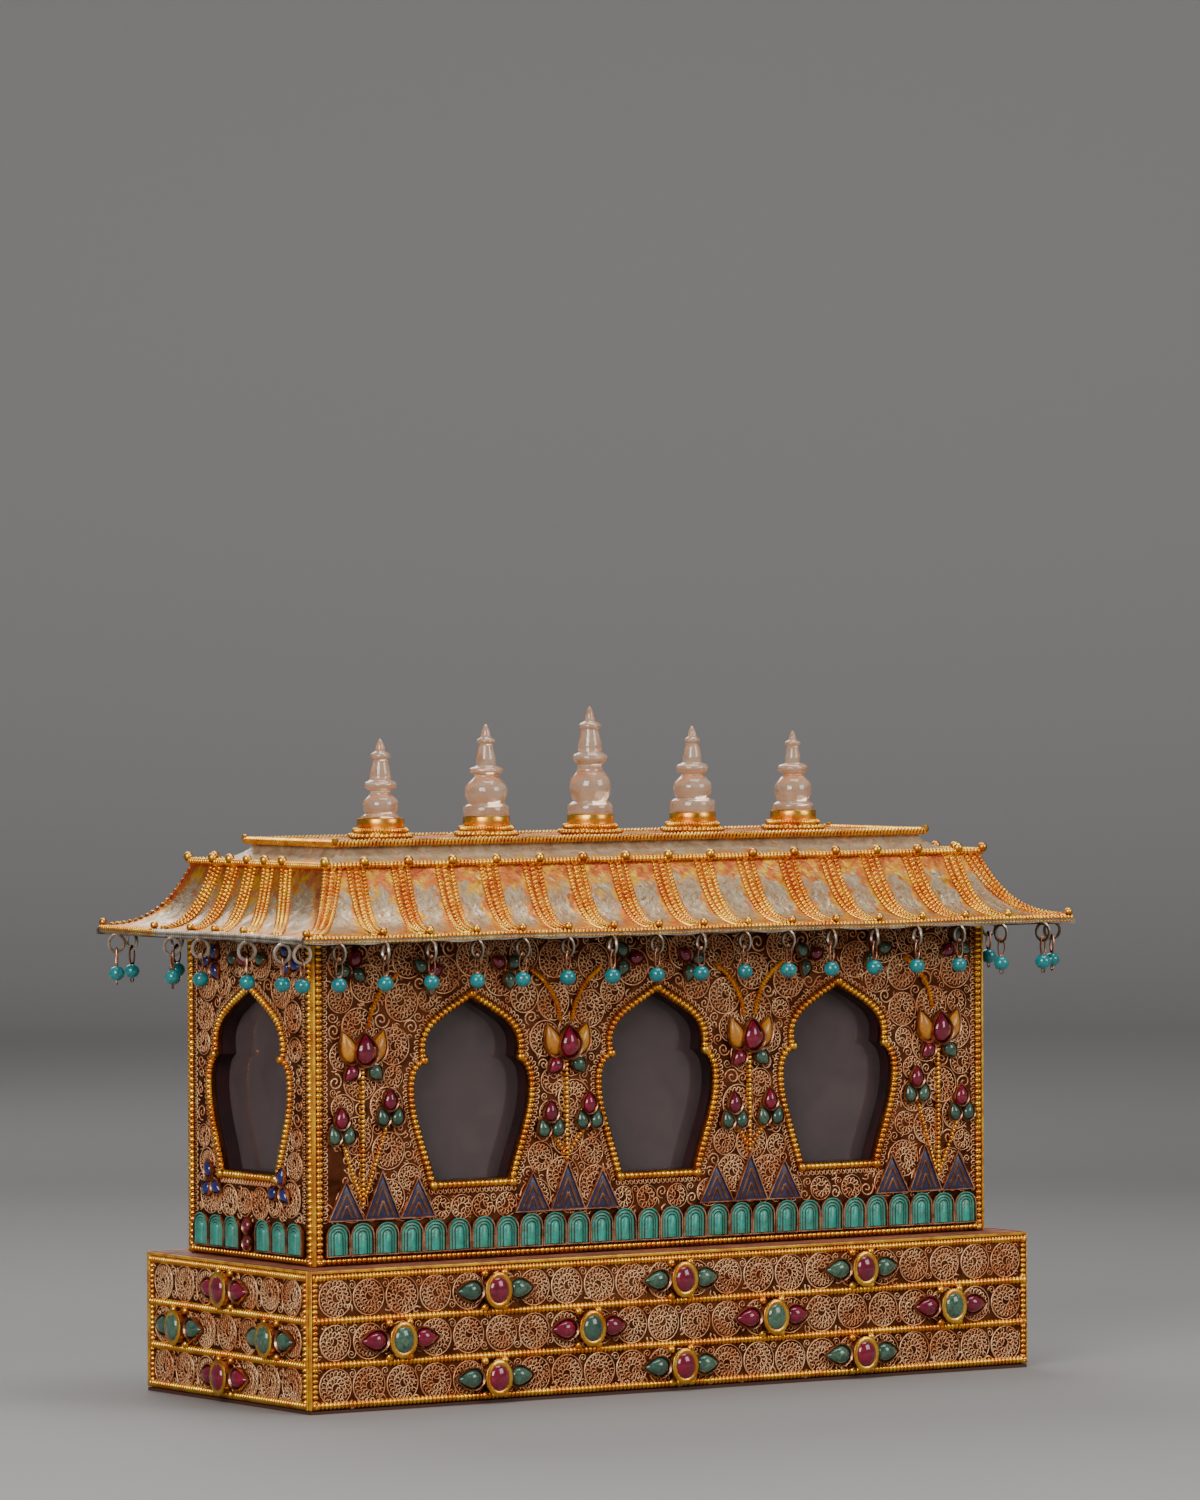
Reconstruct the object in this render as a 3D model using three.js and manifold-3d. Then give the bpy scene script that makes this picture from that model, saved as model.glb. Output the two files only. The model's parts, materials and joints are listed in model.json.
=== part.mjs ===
// A small shrine box: a clad plinth, a windowed body and a curved hipped roof with crystal finials.
// Millimetres, +Z up, the origin at the middle of the underside, the long side along X.

import * as THREE from "three";
import { mergeVertices } from "three/addons/utils/BufferGeometryUtils.js";
import Module from "manifold-3d";

const wasm = await Module();
wasm.setup();

// Clearance kept between pieces that touch, and how deep joined forms sink into each other.
const GAP = 0.3;
const SINK = 0.2;

// Body
const BODY_LENGTH = 300;
const BODY_DEPTH = 90;
const BODY_HEIGHT = 117.8;
const BODY_SKIN = 1.6;
const BOARD_THICKNESS = 5.4;
const PANE_THICKNESS = 1.8;
const PANE_LAP = 4;

// Plinth, which stands out past the body
const PLINTH_REACH_X = 10;
const PLINTH_LENGTH = BODY_LENGTH + 2 * PLINTH_REACH_X;
const PLINTH_REACH_Y = 14;
const PLINTH_DEPTH = BODY_DEPTH + 2 * PLINTH_REACH_Y;
const PLINTH_HEIGHT = 52;
const PLINTH_BANDS = 3;
const PLINTH_TOP_STRIP = 2.2;
const PLINTH_SKIN = 1.6;
const FOOT_BOARD = 1.2;

// Beaded wires and gilt strips
const BAND_WIRE = 2.5;
const CORNER_STRIP = 2.6;
const CORNER_STRIP_RAISE = 0.6;
const CORNER_BEAD = 2.2;
const FOOT_BEAD = 1.6;
const WINDOW_WIRE = 2.8;
const WINDOW_WIRE_RAISE = 1.8;

// Windows: half widths, and heights above the foot of the walls. The front ones take the room that
// the piers between them leave.
const FRONT_WINDOWS = 3;
const WALL_END = 27;
const FRONT_WINDOW_PITCH = (BODY_LENGTH - 2 * WALL_END) / FRONT_WINDOWS;
const PIER_HALF_AT_SILL = 23.8;
const PIER_HALF_AT_BELLY = 8;
const PIER_HALF_AT_KNOT = 20;
const FRONT_WINDOW = {
  sillHalf: FRONT_WINDOW_PITCH / 2 - PIER_HALF_AT_SILL,
  sill: 27.7,
  belly: FRONT_WINDOW_PITCH / 2 - PIER_HALF_AT_BELLY,
  knotHalf: FRONT_WINDOW_PITCH / 2 - PIER_HALF_AT_KNOT,
  knot: 73.7,
  apex: 97.7,
};
const SIDE_WINDOW = { sillHalf: 19.9, sill: 30.7, belly: 36, knotHalf: 24, knot: 74.7, apex: 100.7 };
const WINDOW_STEPS = 3;
// Control points of the window's lower and upper curves: offsets in millimetres, shares of the height.
const WINDOW_CURVE = {
  flankOut: 4.8, flankShare: 0.39, bellyDrop: 8, lobeOut: 1.5, lobeShare: 0.46, neckHalfShare: 0.7,
  neckShare: 0.67, apexInset: 1.4,
};

// Arched tiles
const TILE_HEIGHT = 12.6;
const TILE_THICKNESS = 1.6;
const TILE_FOOT = 3.2;
const TILE_NOTCH = 2;
const TILE_ARCH_STEPS = 3;
const FRONT_TILES = 28;
const SIDE_TILES = 7;

// Lotus sprays: the inner ones stand between the windows, the outer ones beside the corner beads
const SPRAY_THICKNESS = 1.7;
const PEAK_WIDTH = 15.8;
const PEAK_OVERLAP = 0.4;
const SPRAY_HALF = 1.5 * PEAK_WIDTH - PEAK_OVERLAP;
const SPRAY_INNER = FRONT_WINDOW_PITCH / 2;
const SPRAY_OUTER = BODY_LENGTH / 2 - CORNER_STRIP - CORNER_BEAD - GAP - SPRAY_HALF;
const PEAK_HEIGHT = 18.5;
const SMALL_PEAK_HEIGHT = 15.2;
const OUTER_SPRAY_SHIFT = 6.5;
const STEM_WIDTH = 1.8;
const STEM_FOOT_SHARE = 1 / 3;
const PETAL_BELLY_SHARE = 0.4;
const TREFOIL_RISE = 14;
const TREFOIL_REACH = 9;
const TREFOIL_WIDTH = 12;
const TREFOIL_HEIGHT = 14;
const TREFOIL_KNOT_SHARE = 1 / 3;
const LEAF_HEIGHT = 31.5;
const LEAF_WIDTH = 5;
const LEAF_LENGTH = 9.5;
const LEAF_LEAN = 1;
const LOTUS_HEIGHT = 36.8;
const LOTUS_DROP_WIDTH = 10.6;
const LOTUS_DROP_HEIGHT = 12.5;
const LOTUS_DROP_THICKNESS = 3.2;
const LOTUS_PETAL_LEAN = 0.6;

// Gem sets on the plinth
const GEM_SETS = { even: 3, odd: 4, sideEven: 1, sideOdd: 2 };
const GEM_MARGIN = 37;
const GEM_PITCH = (PLINTH_LENGTH - 2 * GEM_MARGIN) / (GEM_SETS.odd - 1);
const SIDE_GEM_MARGIN = 26;
const SIDE_GEM_PITCH = (PLINTH_DEPTH - 2 * SIDE_GEM_MARGIN) / (GEM_SETS.sideOdd - 1);
const COLLAR_WIDTH = 10.5;
const COLLAR_HEIGHT = 12;
const COLLAR_RAISE = 4.6;
const COLLAR_STONE_RAISE = 1.9;
const COLLAR_FACETS = 6;
const DROP_CLEARANCE = 0.4;
const DROP_WIDTH = 8.5;
const DROP_RAISE = 3;
const DROP_CHEEK_SHARE = 0.35;
const DROP_ROOT_SHARE = 0.6;
const GEM_SET_WIDTH = 34.6;

// Roof: the eave wire reaches out past the body, the ridge wire lies inside its outline
const EAVE_REACH_X = 21;
const EAVE_LENGTH = BODY_LENGTH + 2 * EAVE_REACH_X;
const EAVE_REACH_Y = 30;
const EAVE_DEPTH = BODY_DEPTH + 2 * EAVE_REACH_Y;
const RIDGE_INSET_X = 15;
const RIDGE_LENGTH = BODY_LENGTH - 2 * RIDGE_INSET_X;
const RIDGE_INSET_Y = 10;
const RIDGE_DEPTH = BODY_DEPTH - 2 * RIDGE_INSET_Y;
const ROOF_RISE = 24.1;
const ROOF_SHEET = 1.6;
const SOFFIT_THICKNESS = 1.2;
const BRIM_SHARE = 0.3;
const ROOF_SHARES = [0, BRIM_SHARE, 0.65, 1];
const EAVE_WIRE = 1.6;
const EAVE_WIRE_RISE = 1.1;
const EAVE_LIP = 1;
const RIDGE_WIRE = 2.2;
const RIB_WIDTH_EAVE = 3.2;
const RIB_WIDTH_RIDGE = 4.5;
const RIB_HEIGHT = 1.7;
const RIB_FOOT_SHARE = 0.04;
const RIB_SLOPE_REACH = 0.2;
// Ribs are spread between margins, from each end of the eave wire and of the ridge wire. On the
// short sides they crowd towards one corner.
const FRONT_RIBS = 15;
const FRONT_RIB_MARGINS = { eave: 31.7, ridge: 2 };
const SIDE_RIBS = 5;
const SIDE_RIB_MARGINS = { eaveLeft: 45, eaveRight: 21.8, ridgeLeft: 5, ridgeRight: 14.6 };

// Cap on the ridge
const CAP_INSET_X = 13.5;
const CAP_LENGTH = RIDGE_LENGTH - 2 * CAP_INSET_X;
const CAP_INSET_Y = 15;
const CAP_DEPTH = RIDGE_DEPTH - 2 * CAP_INSET_Y;
const CAP_NECK_INSET = 2;
const CAP_RISE = 8.1;
const CAP_PLATE = 1.6;
const CAP_WIRE = 2.5;
// The hollow curve of the cap's foot: how far inwards and how far up, as shares.
const CAP_COVE = [
  { inwards: 0.1, up: 0.1 },
  { inwards: 0.75, up: 0.4 },
];

// Collars under the finials: three steps, widest first
const FINIAL_MARGIN = 28.5;
const COLLAR_STEPS = [
  { radius: 12.4, height: 2 },
  { radius: 10.7, height: 2 },
  { radius: 8.9, height: 3.5 },
];
const COLLAR_SIDES = 8;

// Finials, cut by hand, so each has its own sizes: heights (H) and radii (R) from the foot up
const FINIALS = [
  { flangeH: 1, flangeR: 7.2, bulbH: 7.4, bulbR: 6.75, neckH: 2, neckR: 3.9, plateH: 3.3, plateR: 6.2,
    bodyH: 7.6, bodyR: 3.9, discH: 3, discR: 3.8, spireH: 5, spireR: 1.8 },
  { flangeH: 3.7, flangeR: 8.7, bulbH: 10.4, bulbR: 8.1, neckH: 1.5, neckR: 4.6, plateH: 2.6, plateR: 6.55,
    bodyH: 8.3, bodyR: 3.7, discH: 2.6, discR: 3.5, spireH: 5.2, spireR: 1.8 },
  { flangeH: 3.7, flangeR: 8.7, bulbH: 12.7, bulbR: 7.9, neckH: 2.7, neckR: 4.8, plateH: 3.7, plateR: 6.75,
    bodyH: 8.7, bodyR: 4.6, discH: 2.9, discR: 4.25, spireH: 5.9, spireR: 1.9 },
  { flangeH: 4.4, flangeR: 8.7, bulbH: 9, bulbR: 7.5, neckH: 1.3, neckR: 4.3, plateH: 3.5, plateR: 6.3,
    bodyH: 7.6, bodyR: 3.6, discH: 2.4, discR: 3, spireH: 4.3, spireR: 1.6 },
  { flangeH: 2.4, flangeR: 8, bulbH: 10.2, bulbR: 7.3, neckH: 1.3, neckR: 3.5, plateH: 3.5, plateR: 5.9,
    bodyH: 6.8, bodyR: 3, discH: 2.2, discR: 3.1, spireH: 3.9, spireR: 1.4 },
];
const FINIAL_SIDES = 8;
// Where each swelling is widest, and how much a form narrows towards its top, as shares.
const FINIAL_FORM = { flangeTop: 0.96, bulbWaist: 0.5, plateEdge: 0.4, bodyTop: 0.72, discEdge: 0.5 };

// Pendants under the eave
const FRONT_PENDANTS = 17;
const FRONT_PENDANT_MARGIN = 14.2;
// Places of the side pendants, some of which are lost, as shares of half the eave's depth.
const SIDE_PENDANTS = [-0.82, -0.267, 0.007, 0.453, 0.787, 0.973];
const RING_RADIUS = 3.25;
const RING_WIRE = 1.1;
const LINK_LENGTH = 5;
const LINK_WIRE = 0.9;
const PENDANT_BEAD = 6.2;
const PENDANT_TAIL = 1.5;
const BEAD_SHOULDER_SHARE = 0.3;
const BEAD_SIDES = 4;
const RING_SIDES = 5;
const RING_SECTION_SIDES = 3;

// Levels
const WALL_FOOT = PLINTH_HEIGHT + GAP;
const WALL_TOP = WALL_FOOT + BODY_HEIGHT;
const SOFFIT_BOTTOM = WALL_TOP + GAP;
const BRIM_BOTTOM = SOFFIT_BOTTOM + SOFFIT_THICKNESS + GAP;
const BRIM_TOP = BRIM_BOTTOM + ROOF_SHEET;
const RIDGE_TOP = BRIM_TOP + ROOF_RISE;
const CAP_BOTTOM = RIDGE_TOP + GAP;
const CAP_TOP = CAP_BOTTOM + CAP_RISE;
const LIP_BOTTOM = SOFFIT_BOTTOM - EAVE_LIP;
const PANEL_FOOT = FOOT_BOARD + GAP;
const BAND_HEIGHT = (PLINTH_HEIGHT - PLINTH_TOP_STRIP - PANEL_FOOT) / PLINTH_BANDS;

// Materials
const metal = (color, roughness) => new THREE.MeshStandardMaterial({ color, roughness, metalness: 1 });
const dull = (color, roughness) => new THREE.MeshStandardMaterial({ color, roughness, metalness: 0 });
const clear = (color, roughness, opacity) =>
  new THREE.MeshStandardMaterial({ color, roughness, opacity, transparent: true });
const MATERIALS = {
  filigree: () => metal(0x96694f, 0.55),
  gold: () => metal(0xc88c28, 0.35),
  silver: () => metal(0xbeb4a5, 0.4),
  wood: () => dull(0x5a2a22, 0.7),
  turquoise: () => dull(0x288c7d, 0.4),
  lapis: () => dull(0x322d5a, 0.4),
  crystal: () => clear(0xd7aa91, 0.1, 0.5),
  glass: () => clear(0x4b4446, 0.05, 0.4),
};

// A closed geometry as a solid that can be joined and cut.
function solid(geometry) {
  const bare = geometry.clone();
  bare.deleteAttribute("normal");
  bare.deleteAttribute("uv");
  const merged = mergeVertices(bare, 1e-4);
  const vertProperties = merged.getAttribute("position").array;
  const triVerts = new Uint32Array(merged.index.array);
  return new wasm.Manifold(new wasm.Mesh({ numProp: 3, vertProperties, triVerts }));
}

// One solid out of many that sink into each other, its flat faces merged.
function join(solids) {
  return solids.reduce((whole, next) => whole.add(next)).asOriginal().simplify();
}

// A named mesh with its own material from a joined solid.
function piece(name, shape, material) {
  const made = shape.getMesh();
  const geometry = new THREE.BufferGeometry();
  geometry.setAttribute("position", new THREE.BufferAttribute(new Float32Array(made.vertProperties), 3));
  geometry.setIndex(new THREE.BufferAttribute(new Uint32Array(made.triVerts), 1));
  geometry.computeVertexNormals();
  const mesh = new THREE.Mesh(geometry, MATERIALS[material]());
  mesh.name = name;
  return mesh;
}

// A solid through rings of points; each ring turns anticlockwise seen from the end it leads to.
function loft(rings) {
  const count = rings[0].length;
  const positions = rings.flat().flatMap((point) => point.toArray());
  const index = [];
  for (let ring = 0; ring + 1 < rings.length; ring++) {
    for (let i = 0; i < count; i++) {
      const near = ring * count + i;
      const next = ring * count + ((i + 1) % count);
      index.push(near, next, next + count, near, next + count, near + count);
    }
  }
  const last = (rings.length - 1) * count;
  for (let i = 1; i + 1 < count; i++) {
    index.push(0, i + 1, i, last, last + i, last + i + 1);
  }
  const geometry = new THREE.BufferGeometry();
  geometry.setAttribute("position", new THREE.Float32BufferAttribute(positions, 3));
  geometry.setIndex(index);
  return solid(geometry);
}

// A low pointed form on a flat foot that turns anticlockwise seen from its tip.
function cone(foot, tip) {
  const index = [];
  foot.forEach((_, i) => index.push(i, (i + 1) % foot.length, foot.length));
  for (let i = 1; i + 1 < foot.length; i++) {
    index.push(0, i + 1, i);
  }
  const geometry = new THREE.BufferGeometry();
  const corners = [...foot, tip].flatMap((corner) => corner.toArray());
  geometry.setAttribute("position", new THREE.Float32BufferAttribute(corners, 3));
  geometry.setIndex(index);
  return solid(geometry);
}

// A block between two corners.
function block(low, high) {
  const size = new THREE.Vector3().subVectors(high, low);
  const middle = new THREE.Vector3().addVectors(low, high).multiplyScalar(0.5);
  const geometry = new THREE.BoxGeometry(size.x, size.y, size.z);
  geometry.translate(middle.x, middle.y, middle.z);
  return solid(geometry);
}

// A straight wire of square section, set on its edge, between two points.
function wire(start, end, diameter) {
  const along = new THREE.Vector3().subVectors(end, start).normalize();
  const upright = Math.abs(along.y) > Math.abs(along.x);
  const steady = upright ? new THREE.Vector3(1, 0, 0) : new THREE.Vector3(0, 1, 0);
  const across = new THREE.Vector3().crossVectors(steady, along).normalize();
  const up = new THREE.Vector3().crossVectors(along, across);
  const ring = (centre) =>
    [0, 1, 2, 3].map((quarter) =>
      centre
        .clone()
        .addScaledVector(across, (Math.cos((quarter * Math.PI) / 2) * diameter) / 2)
        .addScaledVector(up, (Math.sin((quarter * Math.PI) / 2) * diameter) / 2),
    );
  return loft([ring(start), ring(end)]);
}

// An outline in the plane of a wall, extruded outwards from one distance to another.
function slab(outline, from, to, holes = []) {
  const shape = new THREE.Shape(outline);
  shape.holes = holes.map((hole) => new THREE.Path(hole));
  const geometry = new THREE.ExtrudeGeometry(shape, { depth: to - from, bevelEnabled: false, steps: 1 });
  geometry.translate(0, 0, from);
  return solid(geometry);
}

// A solid turned about a vertical axis from a profile of [radius, height] pairs, foot first.
function turned(profile, sides) {
  const points = profile.map(([radius, height]) => new THREE.Vector2(radius, height));
  const geometry = new THREE.LatheGeometry(points, sides);
  geometry.rotateX(Math.PI / 2);
  return solid(geometry);
}

const flat = (x, y) => new THREE.Vector2(x, y);
const point = (x, y, z) => new THREE.Vector3(x, y, z);
const between = (start, end, share) => start + (end - start) * share;

// The same outline moved, and leaned about its foot.
function placed(outline, x, y, lean = 0) {
  return outline.map((corner) => corner.clone().rotateAround(flat(0, 0), lean).add(flat(x, y)));
}

// Evenly spread places about the middle.
function spread(count, pitch) {
  return Array.from({ length: count }, (_, i) => (i - (count - 1) / 2) * pitch);
}

// Evenly spread places from one end to another.
function spreadBetween(count, start, end) {
  return Array.from({ length: count }, (_, i) => between(start, end, i / (count - 1)));
}

// The four sides of the box; the back is plainer. In a side's own frame X runs along the wall to
// the right as seen from outside, Y runs up and Z outwards from the middle of the box.
const SIDES = [
  { name: "front", turn: 0, long: true, plain: false },
  { name: "right", turn: Math.PI / 2, long: false, plain: false },
  { name: "back", turn: Math.PI, long: true, plain: true },
  { name: "left", turn: -Math.PI / 2, long: false, plain: false },
];

function sideGroup(side) {
  const upright = new THREE.Group();
  upright.rotation.x = Math.PI / 2;
  const turn = new THREE.Group();
  turn.rotation.z = side.turn;
  turn.add(upright);
  return { turn, upright };
}

// Half the wall's width and its distance out; a short wall stops short of the long walls' skin.
function reach(side, length, depth, skin) {
  return side.long
    ? { half: length / 2, out: depth / 2 }
    : { half: depth / 2 - skin - GAP, out: length / 2 };
}

// Plinth

// The wooden block on its foot board, which reaches out under the cladding.
function plinthBox() {
  const inset = PLINTH_SKIN + GAP;
  const board = flat(PLINTH_LENGTH / 2, PLINTH_DEPTH / 2);
  const core = flat(board.x - inset, board.y - inset);
  return join([
    block(point(-board.x, -board.y, 0), point(board.x, board.y, FOOT_BOARD)),
    block(point(-core.x, -core.y, SINK), point(core.x, core.y, PLINTH_HEIGHT)),
  ]);
}

// A domed stone drop lying along the wall, its tip pointing away from the collar.
function stoneDrop(centreX, centreY, way, out) {
  const root = COLLAR_WIDTH / 2 + DROP_CLEARANCE;
  const tip = GEM_SET_WIDTH / 2;
  const cheek = between(root, tip, DROP_CHEEK_SHARE);
  const half = DROP_WIDTH / 2;
  const rootHalf = half * DROP_ROOT_SHARE;
  const corners = [[tip, 0], [cheek, half], [root, rootHalf], [root, -rootHalf], [cheek, -half]];
  const foot = corners.map(([x, y]) => point(centreX + way * x, centreY + way * y, out - SINK));
  return cone(foot, point(centreX + way * cheek, centreY, out + DROP_RAISE));
}

// An oval stone standing in a tall collar between two drops.
function gemSet(centreX, centreY, out) {
  const collar = turned(
    [
      [0, -SINK],
      [1, -SINK],
      [1, COLLAR_RAISE],
      [0, COLLAR_RAISE + COLLAR_STONE_RAISE],
    ],
    COLLAR_FACETS,
  )
    .scale([COLLAR_WIDTH / 2, COLLAR_HEIGHT / 2, 1])
    .translate([centreX, centreY, out]);
  return [collar, stoneDrop(centreX, centreY, 1, out), stoneDrop(centreX, centreY, -1, out)];
}

function plinthPanel(side) {
  const { half, out } = reach(side, PLINTH_LENGTH, PLINTH_DEPTH, PLINTH_SKIN);
  const parts = [block(point(-half, PANEL_FOOT, out - PLINTH_SKIN), point(half, PLINTH_HEIGHT, out))];
  for (let band = 1; band < PLINTH_BANDS; band++) {
    const level = PANEL_FOOT + band * BAND_HEIGHT;
    parts.push(wire(point(-half, level, out), point(half, level, out), BAND_WIRE));
  }
  parts.push(...cornerTrim(half, out, PANEL_FOOT, PLINTH_HEIGHT));
  for (let band = 0; band < PLINTH_BANDS; band++) {
    const level = PANEL_FOOT + (band + 0.5) * BAND_HEIGHT;
    const odd = band % 2 === 1;
    if (side.plain && !odd) {
      continue;
    }
    const count = side.long ? GEM_SETS[odd ? "odd" : "even"] : GEM_SETS[odd ? "sideOdd" : "sideEven"];
    const places = spread(count, side.long ? GEM_PITCH : SIDE_GEM_PITCH);
    parts.push(...places.flatMap((x) => gemSet(x, level, out)));
  }
  return join(parts);
}

// The gilt strip and the bead column at both ends of a panel.
function cornerTrim(half, out, foot, top) {
  const parts = [];
  for (const end of [-1, 1]) {
    const edge = end * half;
    const inner = edge - end * CORNER_STRIP;
    const bead = inner - (end * CORNER_BEAD) / 2;
    const low = point(Math.min(edge, inner), foot, out - SINK);
    parts.push(block(low, point(Math.max(edge, inner), top, out + CORNER_STRIP_RAISE)));
    parts.push(wire(point(bead, foot, out), point(bead, top, out), CORNER_BEAD));
  }
  return parts;
}

// Body

// The lobed, pointed outline of a window, drawn in by inset.
function windowOutline(spec, centre, inset) {
  const curve = WINDOW_CURVE;
  const sillHalf = spec.sillHalf - inset;
  const knotHalf = spec.knotHalf - inset;
  const belly = spec.belly - inset;
  const sill = spec.sill + inset;
  const apex = spec.apex - inset * curve.apexInset;
  const lower = new THREE.CubicBezierCurve(
    flat(sillHalf, sill),
    flat(sillHalf + curve.flankOut, between(sill, spec.knot, curve.flankShare)),
    flat(belly, spec.knot - curve.bellyDrop),
    flat(knotHalf, spec.knot),
  );
  const upper = new THREE.CubicBezierCurve(
    flat(knotHalf, spec.knot),
    flat(knotHalf + curve.lobeOut, between(spec.knot, apex, curve.lobeShare)),
    flat(knotHalf * curve.neckHalfShare, between(spec.knot, apex, curve.neckShare)),
    flat(0, apex),
  );
  const right = [...lower.getPoints(WINDOW_STEPS), ...upper.getPoints(WINDOW_STEPS).slice(1)];
  const left = right.slice(0, -1).reverse().map((corner) => flat(-corner.x, corner.y));
  return placed([...right, ...left], centre, WALL_FOOT);
}

function windowsOf(side) {
  return side.long
    ? { spec: FRONT_WINDOW, centres: spread(FRONT_WINDOWS, FRONT_WINDOW_PITCH) }
    : { spec: SIDE_WINDOW, centres: [0] };
}

function rectangle(half, foot, top) {
  return [flat(-half, foot), flat(half, foot), flat(half, top), flat(-half, top)];
}

function wallBoard(side) {
  const inset = BODY_SKIN + GAP;
  const { out } = reach(side, BODY_LENGTH, BODY_DEPTH, 0);
  const half = side.long ? BODY_LENGTH / 2 - inset : BODY_DEPTH / 2 - inset - BOARD_THICKNESS - GAP;
  const { spec, centres } = windowsOf(side);
  const holes = centres.map((centre) => windowOutline(spec, centre, WINDOW_WIRE / 2));
  return slab(rectangle(half, WALL_FOOT, WALL_TOP), out - inset - BOARD_THICKNESS, out - inset, holes);
}

function wallPanel(side) {
  const { half, out } = reach(side, BODY_LENGTH, BODY_DEPTH, BODY_SKIN);
  const { spec, centres } = windowsOf(side);
  const holes = centres.map((centre) => windowOutline(spec, centre, WINDOW_WIRE / 2));
  const parts = [slab(rectangle(half, WALL_FOOT, WALL_TOP), out - BODY_SKIN, out, holes)];
  centres.forEach((centre, i) => {
    const rim = windowOutline(spec, centre, -WINDOW_WIRE / 2);
    parts.push(slab(rim, out - SINK, out + WINDOW_WIRE_RAISE, [holes[i]]));
  });
  parts.push(...cornerTrim(half, out, WALL_FOOT, WALL_TOP));
  const level = WALL_FOOT + FOOT_BEAD / 2;
  parts.push(wire(point(-half, level, out), point(half, level, out), FOOT_BEAD));
  return join(parts);
}

function pane(side, centre) {
  const { spec } = windowsOf(side);
  const { out } = reach(side, BODY_LENGTH, BODY_DEPTH, 0);
  const back = out - BODY_SKIN - GAP - BOARD_THICKNESS - GAP;
  const outline = windowOutline(spec, centre, WINDOW_WIRE / 2);
  const half = Math.max(...outline.map((corner) => corner.x - centre)) + PANE_LAP;
  const foot = WALL_FOOT + spec.sill - PANE_LAP;
  const top = WALL_FOOT + spec.apex + PANE_LAP;
  return slab(placed(rectangle(half, foot, top), centre, 0), back - PANE_THICKNESS, back);
}

// Tiles

// A row of tiles set side by side, their round tops parted by notches.
function tileRow(side) {
  const { half: wallHalf, out } = reach(side, BODY_LENGTH, BODY_DEPTH, BODY_SKIN);
  const face = out + GAP;
  const count = side.long ? FRONT_TILES : SIDE_TILES;
  const pitch = (2 * (wallHalf - CORNER_STRIP - CORNER_BEAD - GAP)) / count;
  const places = spread(count, pitch);
  const foot = WALL_FOOT + TILE_FOOT;
  const half = pitch / 2;
  const spring = foot + TILE_HEIGHT - half;
  const outline = [flat(places[0] - half, foot), flat(places.at(-1) + half, foot)];
  for (const x of places.toReversed()) {
    outline.push(flat(x + half, spring - TILE_NOTCH));
    for (let step = 1; step < TILE_ARCH_STEPS; step++) {
      const angle = (Math.PI * step) / TILE_ARCH_STEPS;
      outline.push(flat(x + half * Math.cos(angle), spring + half * Math.sin(angle)));
    }
  }
  outline.push(flat(places[0] - half, spring - TILE_NOTCH));
  return slab(outline, face, face + TILE_THICKNESS);
}

// Lotus sprays

// A pointed petal standing on its foot.
function petal(width, height) {
  const belly = height * PETAL_BELLY_SHARE;
  return [flat(0, 0), flat(width / 2, belly), flat(0, height), flat(-width / 2, belly)];
}

const SPRAY_FACE = BODY_DEPTH / 2 + GAP;
const SPRAY_FOOT = WALL_FOOT + TILE_FOOT + TILE_HEIGHT + GAP;

// The outlines of three peaks standing on the tiles, the middle one tallest.
function peakOutlines(centre) {
  return [-1, 0, 1].map((place) => {
    const height = place === 0 ? PEAK_HEIGHT : SMALL_PEAK_HEIGHT;
    const peak = [flat(-PEAK_WIDTH / 2, 0), flat(PEAK_WIDTH / 2, 0), flat(0, height)];
    return placed(peak, centre + place * (PEAK_WIDTH - PEAK_OVERLAP), SPRAY_FOOT);
  });
}

function peaks(centre) {
  const parts = peakOutlines(centre).map((peak) => slab(peak, SPRAY_FACE, SPRAY_FACE + SPRAY_THICKNESS));
  return join(parts);
}

// Three peaks, a stem with two trefoils and a pair of leaves, and the lotus.
// The outer sprays of a wall have their flower nearer to the corner than their peaks.
function lotusSpray(centre, shift) {
  const face = SPRAY_FACE;
  const out = face + SPRAY_THICKNESS;
  const foot = SPRAY_FOOT;
  const tip = foot + PEAK_HEIGHT;
  const stemX = centre + shift;
  const crown = tip + LOTUS_HEIGHT;
  const outlines = peakOutlines(centre);
  outlines.push(stalk(flat(stemX, foot + SMALL_PEAK_HEIGHT * STEM_FOOT_SHARE), flat(stemX, crown + SINK)));
  for (const way of [-1, 1]) {
    const knot = flat(stemX + way * TREFOIL_REACH, tip + TREFOIL_RISE);
    outlines.push(stalk(flat(stemX, tip), knot));
    const trefoilFoot = knot.y - TREFOIL_HEIGHT * TREFOIL_KNOT_SHARE;
    outlines.push(placed(petal(TREFOIL_WIDTH, TREFOIL_HEIGHT), knot.x, trefoilFoot));
    outlines.push(placed(petal(LEAF_WIDTH, LEAF_LENGTH), stemX, tip + LEAF_HEIGHT, -way * LEAF_LEAN));
    outlines.push(placed(petal(LOTUS_DROP_WIDTH, LOTUS_DROP_HEIGHT), stemX, crown, -way * LOTUS_PETAL_LEAN));
  }
  const parts = outlines.map((outline) => slab(outline, face, out));
  const drop = placed(petal(LOTUS_DROP_WIDTH, LOTUS_DROP_HEIGHT), stemX, crown + SINK);
  const dropFoot = drop.map((corner) => point(corner.x, corner.y, out - SINK));
  const dropBelly = crown + LOTUS_DROP_HEIGHT * PETAL_BELLY_SHARE;
  parts.push(cone(dropFoot, point(stemX, dropBelly, face + LOTUS_DROP_THICKNESS)));
  return join(parts);
}

// The outline of a straight stalk between two points of the wall.
function stalk(start, end) {
  const side = end.clone().sub(start).rotateAround(flat(0, 0), Math.PI / 2).setLength(STEM_WIDTH / 2);
  return [start.clone().sub(side), end.clone().sub(side), end.clone().add(side), start.clone().add(side)];
}

// Roof

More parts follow.
